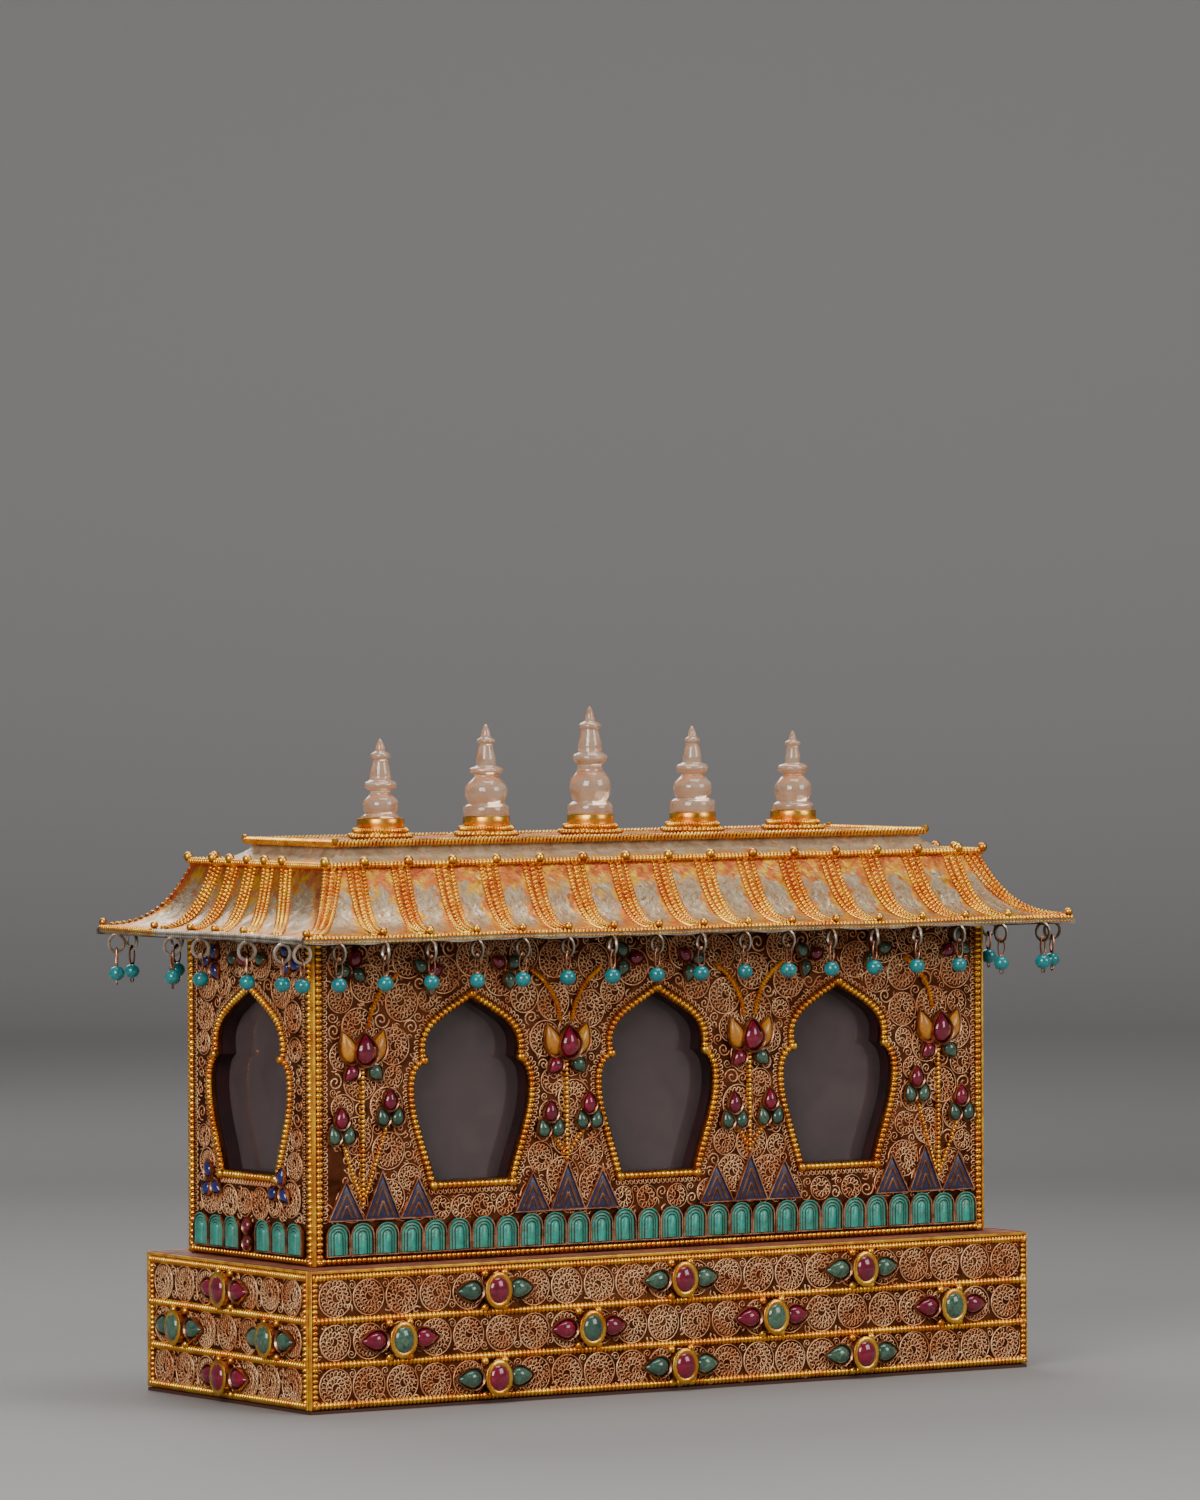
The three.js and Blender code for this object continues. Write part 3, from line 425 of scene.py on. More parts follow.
@dataclass
class Form:
    """A small shape as arrays, in millimetres, that is copied many times into one mesh."""

    points: np.ndarray
    corners: np.ndarray
    sizes: np.ndarray
    finishes: np.ndarray
    crest: np.ndarray
    tone: np.ndarray

    @classmethod
    def taken(cls, piece: bpy.types.Object) -> "Form":
        """The finished mesh of a modelled object, which is then removed."""
        mesh = piece.data
        points = np.empty(len(mesh.vertices) * 3)
        corners = np.empty(len(mesh.loops), np.int64)
        sizes = np.empty(len(mesh.polygons), np.int64)
        mesh.vertices.foreach_get("co", points)
        mesh.loops.foreach_get("vertex_index", corners)
        mesh.polygons.foreach_get("loop_total", sizes)
        bpy.data.objects.remove(piece)
        bpy.data.meshes.remove(mesh)
        return cls.shaped(points.reshape(-1, 3), corners, sizes)

    @classmethod
    def shaped(cls, points: np.ndarray, corners: np.ndarray, sizes: np.ndarray) -> "Form":
        """A form whose crest runs from 0 at its lowest point to 1 at its highest; the metals paint shade
        where it is low.
        """
        height = points[:, 2]
        crest = (height - height.min()) / max(np.ptp(height), 1e-6)
        return cls(points, corners, sizes, np.zeros(len(sizes), np.int64), crest, np.zeros(len(points)))

    @classmethod
    def merged(cls, forms: Sequence["Form"]) -> "Form":
        """Several forms as one."""
        shifts = np.cumsum([0] + [len(form.points) for form in forms[:-1]])
        rest = [np.concatenate([getattr(form, key) for form in forms])
                for key in ("sizes", "finishes", "crest", "tone")]
        corners = np.concatenate([form.corners + shift for form, shift in zip(forms, shifts)])
        return cls(np.concatenate([form.points for form in forms]), corners, *rest)

    def copies(self, places: Sequence[np.ndarray], tones: np.ndarray | None = None) -> "Form":
        """The form at many places.

        Args:
            places: 4 by 4 matrices.
            tones: a value from 0 to 1 for each copy, which shifts its colour.

        Returns:
            One form that holds all the copies.
        """
        count, size = len(places), len(self.points)
        padded = np.c_[self.points, np.ones(size)]
        points = np.einsum("kij,nj->kni", np.asarray(places)[:, :3, :], padded).reshape(-1, 3)
        shifts = np.repeat(np.arange(count) * size, len(self.corners))
        rest = (np.tile(values, count) for values in (self.sizes, self.finishes, self.crest))
        tone = np.tile(self.tone, count) if tones is None else np.repeat(tones, size)
        return Form(points, np.tile(self.corners, count) + shifts, *rest, tone)

    def moved(self, matrix: np.ndarray) -> "Form":
        """The form under one matrix."""
        return self.copies(np.asarray(matrix, float)[None])

    def finished(self, finish: int) -> "Form":
        """The same form with another finish number on all its faces."""
        self.finishes = np.full(len(self.sizes), finish)
        return self

    def reshaped(self, change: Callable[[np.ndarray], np.ndarray]) -> "Form":
        """The form with its points changed by a function."""
        self.points = change(self.points.copy())
        return self

    @property
    def triangles(self) -> int:
        """How many triangles the form has."""
        return int((self.sizes - 2).sum())


def frames(at: np.ndarray, along: np.ndarray, out: np.ndarray, scale: Scale) -> np.ndarray:
    """Matrices that set forms on a path.

    Args:
        at: the places, one row each.
        along: the direction of each form's x axis.
        out: the direction that each form's z axis leans to.
        scale: one size, or sizes along x, y and z.

    Returns:
        An array of 4 by 4 matrices.
    """
    along = along / np.linalg.norm(along, axis=1, keepdims=True)
    across = np.cross(out, along)
    across /= np.linalg.norm(across, axis=1, keepdims=True)
    places = np.zeros((len(at), 4, 4))
    for axis, (size, way) in enumerate(zip(np.ones(3) * scale, (along, across, np.cross(along, across)))):
        places[:, :3, axis] = way * size
    places[:, :3, 3] = at
    places[:, 3, 3] = 1
    return places


def on_wall(x: float, z: float, out: float, turn: float = 0, scale: Scale = 1) -> np.ndarray:
    """A matrix that lays a form on the front wall.

    Args:
        x, z, out: place along the wall, height, and distance out from the box's middle plane.
        turn: turn in the plane of the wall, anticlockwise in radians.
        scale: one size, or sizes along the form's x, y and z.

    Returns:
        The 4 by 4 matrix.
    """
    along = np.array([[math.cos(turn), 0, math.sin(turn)]])
    return frames(np.array([[x, -out, z]]), along, np.array([[0, -1.0, 0]]), scale)[0]


def upright(x: float, y: float, z: float, scale: Scale = 1, turn: float = 0) -> np.ndarray:
    """A matrix that stands a form at a place, turned about the upright axis."""
    size = Matrix.Diagonal((*(np.ones(3) * scale), 1))
    return np.array(Matrix.Translation((x, y, z)) @ Matrix.Rotation(turn, 4, "Z") @ size)


def make_piece(
    name: str,
    form: Form,
    finishes: Sequence[Finish],
    wall: Wall = Wall.FRONT,
    stands_for: Sequence[str] = (),
    smooth: float = 50,
) -> bpy.types.Object:
    """A finished piece of the box.

    Args:
        name: the piece's name.
        form: its shape, in millimetres, as on the front wall.
        finishes: the finishes that the form's finish numbers name.
        wall: the side that it is turned to.
        stands_for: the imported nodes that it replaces.
        smooth: edges sharper than this angle in degrees stay sharp.

    Returns:
        The object, riding on the box.
    """
    mesh = bpy.data.meshes.new(name)
    points = (form.points @ np.array(Matrix.Rotation(math.radians(wall.value), 3, "Z")).T) * MM
    starts = np.concatenate([[0], np.cumsum(form.sizes)[:-1]])
    mesh.vertices.add(len(points))
    mesh.loops.add(len(form.corners))
    mesh.polygons.add(len(form.sizes))
    mesh.vertices.foreach_set("co", points.astype(np.float32).ravel())
    mesh.loops.foreach_set("vertex_index", form.corners.astype(np.int32))
    mesh.polygons.foreach_set("loop_start", starts.astype(np.int32))
    mesh.polygons.foreach_set("material_index", form.finishes.astype(np.int32))
    mesh.update(calc_edges=True)
    store(mesh, "crest", form.crest)
    store(mesh, "tone", form.tone)
    mesh.validate()
    piece = bpy.data.objects.new(name, mesh)
    bpy.context.scene.collection.objects.link(piece)
    for finish in finishes:
        mesh.materials.append(finish.material())
    shade(piece, smooth)
    settle(piece, stands_for)
    LOG.info("%s: %d triangles", name, form.triangles)
    return piece


def store(mesh: bpy.types.Mesh, key: str, values: np.ndarray) -> None:
    """Keeps a value at each point of a mesh for its material."""
    mesh.attributes.new(key, "FLOAT", "POINT").data.foreach_set("value", values.astype(np.float32))


def settle(piece: bpy.types.Object, stands_for: Sequence[str] = ()) -> None:
    """Sets a piece on the box's one body and the nodes that it replaces."""
    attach(piece, "root")
    if stands_for:
        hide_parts(*stands_for)


def shade(piece: bpy.types.Object, angle: float) -> None:
    """Shades a piece smooth, with edges sharper than an angle in degrees kept sharp."""
    select_only(piece)
    bpy.ops.object.shade_smooth_by_angle(angle=math.radians(angle))
    piece.select_set(False)


def deselect() -> None:
    """Leaves edit mode and deselects every object."""
    if bpy.context.object and bpy.context.object.mode != "OBJECT":
        bpy.ops.object.mode_set(mode="OBJECT")
    bpy.ops.object.select_all(action="DESELECT")


def select_only(piece: bpy.types.Object) -> None:
    """Makes a piece the only selected object and the active one."""
    deselect()
    piece.select_set(True)
    bpy.context.view_layer.objects.active = piece


def loose_object(name: str, points: Sequence, faces: Sequence) -> bpy.types.Object:
    """An object that holds a plain mesh, selected alone."""
    mesh = bpy.data.meshes.new(name)
    mesh.from_pydata(points, [], faces)
    piece = bpy.data.objects.new(name, mesh)
    bpy.context.scene.collection.objects.link(piece)
    select_only(piece)
    return piece


def apply_modifier(piece: bpy.types.Object, kind: str, **settings: object) -> None:
    """Gives a piece a modifier with its settings and applies it."""
    modifier = piece.modifiers.new(kind, kind)
    for key, value in settings.items():
        setattr(modifier, key, value)
    select_only(piece)
    bpy.ops.object.modifier_apply(modifier=modifier.name)


class Bench:
    """Models one shape with the usual operators, then hands it over."""

    def __init__(self) -> None:
        """Clears the bench."""
        deselect()

    @property
    def piece(self) -> bpy.types.Object:
        """The object on the bench."""
        return bpy.context.active_object

    def edit(self, kind: str = "VERT") -> None:
        """Fixes the object's place in its mesh, then edits its vertices, edges or faces, all selected."""
        bpy.ops.object.transform_apply(location=True, rotation=True, scale=True)
        bpy.ops.object.mode_set(mode="EDIT")
        bpy.ops.mesh.select_mode(type=kind)
        bpy.ops.mesh.select_all(action="SELECT")

    def pick(self, kind: str, test: Callable[[Vector], bool]) -> None:
        """Selects parts of the mesh.

        Args:
            kind: "verts", "edges" or "faces".
            test: says whether a part is selected, of a vertex's place, an edge's run or a face's middle.
        """
        bpy.ops.mesh.select_all(action="DESELECT")
        data = bmesh.from_edit_mesh(self.piece.data)
        measure = {
            "verts": lambda vertex: vertex.co,
            "edges": lambda edge: edge.verts[1].co - edge.verts[0].co,
            "faces": lambda face: face.calc_center_median(),
        }[kind]
        for element in [element for element in getattr(data, kind) if test(measure(element))]:
            element.select_set(True)
        data.select_flush_mode()
        bmesh.update_edit_mesh(self.piece.data)

    def raised(self, height: float) -> None:
        """Extrudes the selected faces upwards."""
        bpy.ops.mesh.extrude_region_move(TRANSFORM_OT_translate={"value": (0, 0, height)})

    def inset(self, *steps: Pair) -> None:
        """Insets the selected face by each step's thickness and depth."""
        for thickness, depth in steps:
            bpy.ops.mesh.inset(thickness=thickness, depth=depth)

    def close(self) -> None:
        """Fills open ends and turns all faces outwards."""
        bpy.ops.mesh.select_all(action="SELECT")
        bpy.ops.mesh.fill_holes(sides=0)
        self.turn_outwards()

    def turn_outwards(self) -> None:
        """Turns all faces outwards."""
        bpy.ops.mesh.select_all(action="SELECT")
        bpy.ops.mesh.normals_make_consistent(inside=False)

    def form(self) -> Form:
        """The finished shape."""
        bpy.ops.object.mode_set(mode="OBJECT")
        return Form.taken(self.piece)


class Shapes:
    """The small shapes that repeat all over the box, each modelled once."""

    def __init__(self) -> None:
        """Models them."""
        self.dome = self.with_painted_groove_shade(self.half_ball(8, 4))
        self.low_dome = self.with_painted_groove_shade(self.half_ball(6, 4))
        self.tiny_dome = self.with_painted_groove_shade(self.half_ball(5, 4))
        self.disc = self.with_painted_groove_shade(self.whole_ball(6, 4))
        self.ball = self.whole_ball(8, 5)
        self.round_ball = self.whole_ball(16, 10)
        self.cabochon = self.half_ball(16, 8)
        self.drop = self.half_ball(16, 8).reshaped(self.pointed)
        self.drop_rim = self.ring(16, 5, 0.1).reshaped(self.pointed)
        self.link = self.ring(14, 6, 0.2)
        self.bar = self.rounded_bar()

    def half_ball(self, sides: int, rings: int) -> Form:
        """A dome of radius 1 on a flat foot."""
        bench = Bench()
        bpy.ops.mesh.primitive_uv_sphere_add(segments=sides, ring_count=rings, radius=1)
        bench.edit()
        bench.pick("verts", lambda at: at.z < -0.01)
        bpy.ops.mesh.delete(type="VERT")
        bench.close()
        return bench.form()

    def whole_ball(self, sides: int, rings: int) -> Form:
        """A ball of radius 1."""
        bench = Bench()
        bpy.ops.mesh.primitive_uv_sphere_add(segments=sides, ring_count=rings, radius=1)
        return bench.form()

    def ring(self, around: int, section: int, thickness: float) -> Form:
        """A round wire bent to a ring whose middle line has radius 1."""
        bench = Bench()
        bpy.ops.mesh.primitive_torus_add(
            major_segments=around, minor_segments=section, major_radius=1, minor_radius=thickness)
        return bench.form()

    def rounded_bar(self) -> Form:
        """A bar from -1 to 1 along x with bevelled edges."""
        bench = Bench()
        bpy.ops.mesh.primitive_cube_add(size=2)
        bench.edit()
        bpy.ops.mesh.bevel(offset=0.3, segments=1)
        return bench.form()

    @staticmethod
    def with_painted_groove_shade(bead: Form) -> Form:
        """A bead of a wire with painted shade at its two ends, where it meets the next ones."""
        bead.crest = np.sqrt(np.clip(1 - bead.points[:, 0] ** 2, 0, 1))
        return bead

    @staticmethod
    def pointed(points: np.ndarray) -> np.ndarray:
        """Draws a round form out to a point at its +x end."""
        along = np.clip(points[:, 0], -1.2, 1)
        pinch = np.minimum(1, np.sqrt(np.clip(1.02 - along, 0, None) / 1.25))
        points[:, 1] *= pinch
        points[:, 2] *= np.sqrt(pinch)
        return points


@dataclass(frozen=True)
class Strand:
    """A beaded wire: one bead of radius 1 copied at an even pitch along a path.

    A bead stands up by the rise, or by half the wire's width where no rise is given.
    """

    TOUCH = 0.53
    STEP = 0.2

    bead: Form
    width: float
    pitch: float
    rise: float | None = None

    def along(self, path: np.ndarray, out: np.ndarray, start: float = 1, end: float = 1) -> Form:
        """Beads on a path.

        Args:
            path: the points of the path.
            out: the outward direction at each point.
            start, end: the beads' size at the first and the last point, as a share.

        Returns:
            The beads as one form.
        """
        run = np.concatenate([[0], np.cumsum(np.linalg.norm(np.diff(path, axis=0), axis=1))])
        count = max(2, round(run[-1] / self.pitch))
        stations = (np.arange(count) + 0.5) * run[-1] / count
        at, ahead, behind, lean = (
            np.stack([np.interp(stations + shift, run, rows[:, axis]) for axis in range(3)], 1)
            for rows, shift in ((path, 0), (path, self.STEP), (path, -self.STEP), (out, 0)))
        rise = self.width / 2 if self.rise is None else self.rise
        places = frames(at, ahead - behind, lean, (self.pitch * self.TOUCH, self.width / 2, rise))
        places[:, :3, :3] *= np.interp(stations, [0, run[-1]], [start, end])[:, None, None]
        return self.bead.copies(places)

    def across_wall(self, points: Sequence[Pair], out: float) -> Form:
        """Beads along a path of x and height pairs on the front wall."""
        path = np.array([(x, -out, z) for x, z in points], float)
        return self.along(path, np.tile([0, -1.0, 0], (len(path), 1)))

    def uprights(self, x: float, foot: float, top: float, out: float) -> list[Form]:
        """Two upright rows on the front wall, as far left of its middle as right."""
        return [self.across_wall([(way * x, foot), (way * x, top)], out) for way in (-1, 1)]


class WireBender:
    """Bends fine filigree wire of three-sided section, arc by arc."""

    WIRE = 0.36

    def begin(self, x: float) -> "WireBender":
        """Sets the wire's end at x on the level axis, heading up."""
        self.at = Vector((x, 0))
        self.heading = math.pi / 2
        self.bench = Bench()
        bpy.ops.mesh.primitive_circle_add(
            vertices=3, radius=self.WIRE, fill_type="NOTHING", location=(x, 0, self.WIRE / 2),
            rotation=(math.pi / 2, 0, 0))
        self.bench.edit("EDGE")
        return self

    def arc(self, radius: float, degrees: float, steps: int) -> "WireBender":
        """Bends on to the left, by a radius and an angle, in a number of facets."""
        angle = math.radians(degrees)
        centre = self.at + Vector((-math.sin(self.heading), math.cos(self.heading))) * radius
        bpy.ops.mesh.spin(
            steps=steps, angle=-angle, center=(centre.x, centre.y, 0), axis=(0, 0, 1), use_auto_merge=False)
        self.at = centre + Matrix.Rotation(angle, 2) @ (self.at - centre)
        self.heading += angle
        return self

    def cut(self) -> Form:
        """Closes both ends and hands the wire over."""
        self.bench.close()
        return self.bench.form()


@dataclass(frozen=True)
class Motif:
    """A filigree motif: the least radius of a gap that it goes in, the radius it fills, and its wires."""

    least: float
    reach: float
    form: Form


class Scrollwork:
    """Filigree motifs: rimmed medallions full of small curls, and single scrolls for the gaps."""

    HALF_CHANNEL = 1.25
    FIRST_RADIUS = 0.65
    HOOK = 2.3
    RIM_GAP = 0.2
    FRINGE_PITCH = 2.0
    LEAN = 0.75

    def __init__(self) -> None:
        """Bends the motifs, for the full sides and for the plain one."""
        self.hook = WireBender().begin(0).arc(2.0, 44, 2).arc(0.72, 240, 4).cut()
        self.rim = self.make_rim()
        scroll, curl = Motif(1.5, 2.1, self.make_spiral(3, 0.62)), Motif(0, 1.05, self.hook)
        self.motifs = {
            plain: [*(self.make_medallion(turns, spacing) for turns in (4, 3, 2)), scroll, curl]
            for plain, spacing in ((False, 1.7), (True, 3.2))
        }

    def make_rim(self) -> Form:
        """The ring round a medallion."""
        bench = Bench()
        bpy.ops.mesh.primitive_torus_add(
            major_segments=20, minor_segments=3, major_radius=1, minor_radius=0.04, location=(0, 0, 0.02))
        bench.edit()
        return bench.form()

    def make_spiral(self, half_turns: int, growth: float) -> Form:
        """A spiral whose radius grows with each half turn."""
        bender = WireBender().begin(self.FIRST_RADIUS)
        for turn in range(half_turns):
            bender.arc(self.FIRST_RADIUS + turn * growth, 180, 4 + turn)
        return bender.cut()

    def make_medallion(self, half_turns: int, spacing: float) -> Motif:
        """A spiral whose outer side bristles with hooks at a spacing, lying flat, centred inside a rim."""
        places = []
        for turn in range(half_turns):
            radius = self.FIRST_RADIUS + turn * self.HALF_CHANNEL
            centre = self.HALF_CHANNEL if turn % 2 else 0.0
            count = max(2, round(math.pi * (radius + self.HOOK / 2) / spacing))
            for i in range(count):
                angle = math.pi * (turn + (i + 0.5) / count)
                x, y = centre + radius * math.cos(angle), radius * math.sin(angle)
                places.append(upright(x, y, 0, turn=angle - math.pi / 2 - self.LEAN))
        even = half_turns % 2 == 0
        shift = (-self.HALF_CHANNEL, self.HALF_CHANNEL / 2) if even else (0, -self.HALF_CHANNEL / 2)
        wires = [self.make_spiral(half_turns, self.HALF_CHANNEL), self.hook.copies(places)]
        parts = [Form.merged(wires).moved(upright(*shift, 0))]
        reach = self.FIRST_RADIUS + (half_turns - 1) * self.HALF_CHANNEL + self.HOOK + self.RIM_GAP
        parts.append(self.rim.moved(upright(0, 0, 0, (reach, reach, 12))))
        if spacing < self.HOOK:
            inner = [angle + (0 if even else math.pi) for angle in (0.35, 0.85, 1.35)]
            parts.append(self.hook.copies([
                upright(reach * math.cos(a), reach * math.sin(a), 0, turn=a + math.pi / 2 - self.LEAN)
                for a in inner]))
        return Motif(reach - self.HALF_CHANNEL * 0.7, reach, Form.merged(parts))

    def laid(self, discs: Sequence[Triple], out: float, plain: bool, seed: int) -> Form:
        """Motifs laid on the front wall.

        Args:
            discs: x, height and radius of each motif.
            out: the wall's distance out.
            plain: True for the sparser motifs of the back.
            seed: fixes the motifs' turns.

        Returns:
            One form.
        """
        dice = random.Random(seed)
        motifs = self.motifs[plain]
        groups: list[list[np.ndarray]] = [[] for _ in motifs]
        for x, z, radius in discs:
            kind = next(i for i, motif in enumerate(motifs) if radius > motif.least)
            size = radius / motifs[kind].reach
            groups[kind].append(on_wall(x, z, out, dice.uniform(0, 2 * math.pi), (size, size, 1)))
        return Form.merged([
            motif.form.copies(places, np.array([dice.random() for _ in places]))
            for motif, places in zip(motifs, groups) if places])

    def fringe(self, points: Sequence[Pair], out: float) -> Form:
        """Curls in a row that stand on the right of a path of x and height pairs."""
        path = np.array(points, float)
        run = np.concatenate([[0], np.cumsum(np.linalg.norm(np.diff(path, axis=0), axis=1))])
        places = []
        for station in np.arange(self.FRINGE_PITCH / 2, run[-1], self.FRINGE_PITCH):
            (x, x1), (z, z1) = (np.interp([station, station + 0.3], run, path[:, axis]) for axis in (0, 1))
            places.append(on_wall(x, z, out, math.atan2(z1 - z, x1 - x) + math.pi - 0.35))
        return self.hook.copies(places)


class Ground:
    """The bare field of a wall, which motifs fill largest first."""

    STEP = 0.75

    def __init__(self, low: Pair, high: Pair, seed: int) -> None:
        """Marks out a rectangle from its lower left and upper right corners; the seed makes it uneven."""
        xs = np.arange(low[0], high[0], self.STEP)
        zs = np.arange(low[1], high[1], self.STEP)
        self.x, self.z = (grid.ravel() for grid in np.meshgrid(xs, zs))
        edges = [self.x - low[0], high[0] - self.x, self.z - low[1], high[1] - self.z]
        self.room = np.minimum.reduce(edges)
        self.bias = np.random.default_rng(seed).uniform(0.86, 1, len(self.room))

    def keep_clear(self, outline: np.ndarray, margin: float) -> None:
        """Takes a closed outline out of the field, with a margin round it."""
        nearest = np.full(len(self.x), 1e9)
        inside = np.zeros(len(self.x), bool)
        for (ax, az), (bx, bz) in zip(outline, np.roll(outline, -1, 0)):
            run = (bx - ax) ** 2 + (bz - az) ** 2 + 1e-9
            share = np.clip(((self.x - ax) * (bx - ax) + (self.z - az) * (bz - az)) / run, 0, 1)
            off = np.hypot(self.x - ax - share * (bx - ax), self.z - az - share * (bz - az))
            nearest = np.minimum(nearest, off)
            crosses = (az > self.z) != (bz > self.z)
            level = (bx - ax) * (self.z - az) / (bz - az + 1e-12) + ax
            inside ^= crosses & (self.x < level)
        self.room = np.minimum(self.room, np.where(inside, -nearest, nearest) - margin)

    def take(self, x: float, z: float, radius: float) -> None:
        """Takes a disc out of the field."""
        self.room = np.minimum(self.room, np.hypot(self.x - x, self.z - z) - radius)

    def filled(self, largest: float, smallest: float) -> list[Triple]:
        """Discs packed into the field, as x, height and radius, from the largest radius to the smallest."""
        discs = []
        while True:
            best = int(np.argmax(np.minimum(self.room, largest) * self.bias))
            disc = (float(self.x[best]), float(self.z[best]), float(min(self.room[best], largest)))
            if disc[2] < smallest:
                return discs
            discs.append(disc)
            self.take(*disc)


@dataclass(frozen=True)
class WindowShape:
    """The lobed, pointed outline of a window: half widths, and heights above the foot of the wall."""

    sill_half: float
    sill: float
    belly: float
    knot_half: float
    knot: float
    apex: float
    steps: int = 12

    def outline(self, centre: float, foot: float, inset: float = 0) -> np.ndarray:
        """The closed outline as x and height pairs, anticlockwise, drawn in by an inset."""
        sill_half, knot_half, belly = (side - inset for side in (self.sill_half, self.knot_half, self.belly))
        knot, sill, apex = self.knot, self.sill + inset, self.apex - 1.4 * inset
        curves = (
            ((sill_half, sill), (sill_half + 3.6, sill + (knot - sill) * 0.3), (belly, knot - 22),
             (belly, knot - 11)),
            ((belly, knot - 11), (belly, knot - 5), (belly - 1.4, knot - 2), (knot_half, knot)),
            ((knot_half, knot), (knot_half + 2.6, knot + (apex - knot) * 0.52),
             (knot_half * 0.73, knot + (apex - knot) * 0.63), (0, apex)),
        )
        right = np.concatenate([self.curve(*handles)[min(i, 1):] for i, handles in enumerate(curves)])
        left = right[-2::-1] * [-1, 1]
        return np.concatenate([right, left]) + [centre, foot]

    def curve(self, *handles: Pair) -> np.ndarray:
        """Points of a cubic curve with four handles."""
        share = np.linspace(0, 1, self.steps + 1)[:, None]
        weights = ((1 - share) ** 3, 3 * share * (1 - share) ** 2, 3 * share**2 * (1 - share), share**3)
        return sum(weight * np.array(handle, float) for weight, handle in zip(weights, handles))

    def knots(self, centre: float, foot: float) -> list[Pair]:
        """Where the frame's balls sit: sill corners, shoulders and apex."""
        levels = ((self.sill_half, self.sill), (self.knot_half, self.knot))
        pairs = [(way * half, level) for half, level in levels for way in (-1, 1)]
        return [(centre + x, foot + z) for x, z in [*pairs, (0, self.apex)]]


@dataclass(frozen=True)
class Stonework:
    """Sets stones in bezels: ovals, drops and clusters of drops."""

    shapes: Shapes
    size: Pair = (7.8, 6.2)
    upper_size: Pair = (9.0, 6.8)

    def bezelled(
        self, x: float, z: float, out: float, size: Pair, turn: float, stone: int,
        height: float = 2.2,
    ) -> Form:
        """A drop with its point along its turn, in a bezel.

        Args:
            x: place along the wall.
            z: height.
            out: the wall's distance out.
            size: its length and its width.
            turn: which way its point looks, anticlockwise from the right.
            stone: the stone's finish number; the bezel's is 0.
            height: how far the bezel stands up.

        Returns:
            The drop and its bezel.
        """
        length, width = size[0] / 2, size[1] / 2
        scale = (length * 0.87, width * 0.84, 0.32 * size[1])
        body = self.shapes.drop.moved(on_wall(x, z, out + height * 0.45, turn, scale)).finished(stone)
        body.tone[:] = random.Random(round(x * 7 + z * 13)).random()
        rim = self.shapes.drop_rim.moved(on_wall(x, z, out + height / 2, turn, (length, width, height / 0.2)))
        return Form.merged([body, rim.finished(0)])

    def trefoil(self, x: float, z: float, out: float, upper: int, lower: int) -> Form:
        """One drop above two others, their points together.

        Args:
            x, z, out: its middle along the wall, its height, and the wall's distance out.
            upper, lower: finish numbers of the upper drop and of the lower two.

        Returns:
            The three drops.
        """
        drops = ((0, 4.4, self.upper_size, math.pi / 2, upper), (-3.3, -1.9, self.size, 1.85, lower),
                 (3.3, -1.9, self.size, 1.3, lower))
        return Form.merged([self.bezelled(x + dx, z + dz, out, *rest) for dx, dz, *rest in drops])


class Clad:
    """A clad block, whose panels on the short sides fit between those on the long ones."""

    half_length: float
    half_depth: float
    foot: float
    top: float

    def reach(self, wall: Wall) -> Pair:
        """Half the width of a side, and its distance out."""
        if wall.long:
            return self.half_length, self.half_depth
        return self.half_depth - SKIN - GAP, self.half_length

    def strips(self, wall: Wall, width: float) -> list[Form]:
        """The two upright gilt strips at a wall's ends, which meet the next wall's at the corner."""
        half, out = self.reach(wall)
        end = half + (0.02 if wall.long else GAP)
        back = out - SKIN - 0.02 if wall.long else out - 0.2
        places = [sorted((way * end, way * (half - width))) for way in (-1, 1)]
        return [slab(*place, self.foot, self.top, back, out + 0.6).finished(1) for place in places]


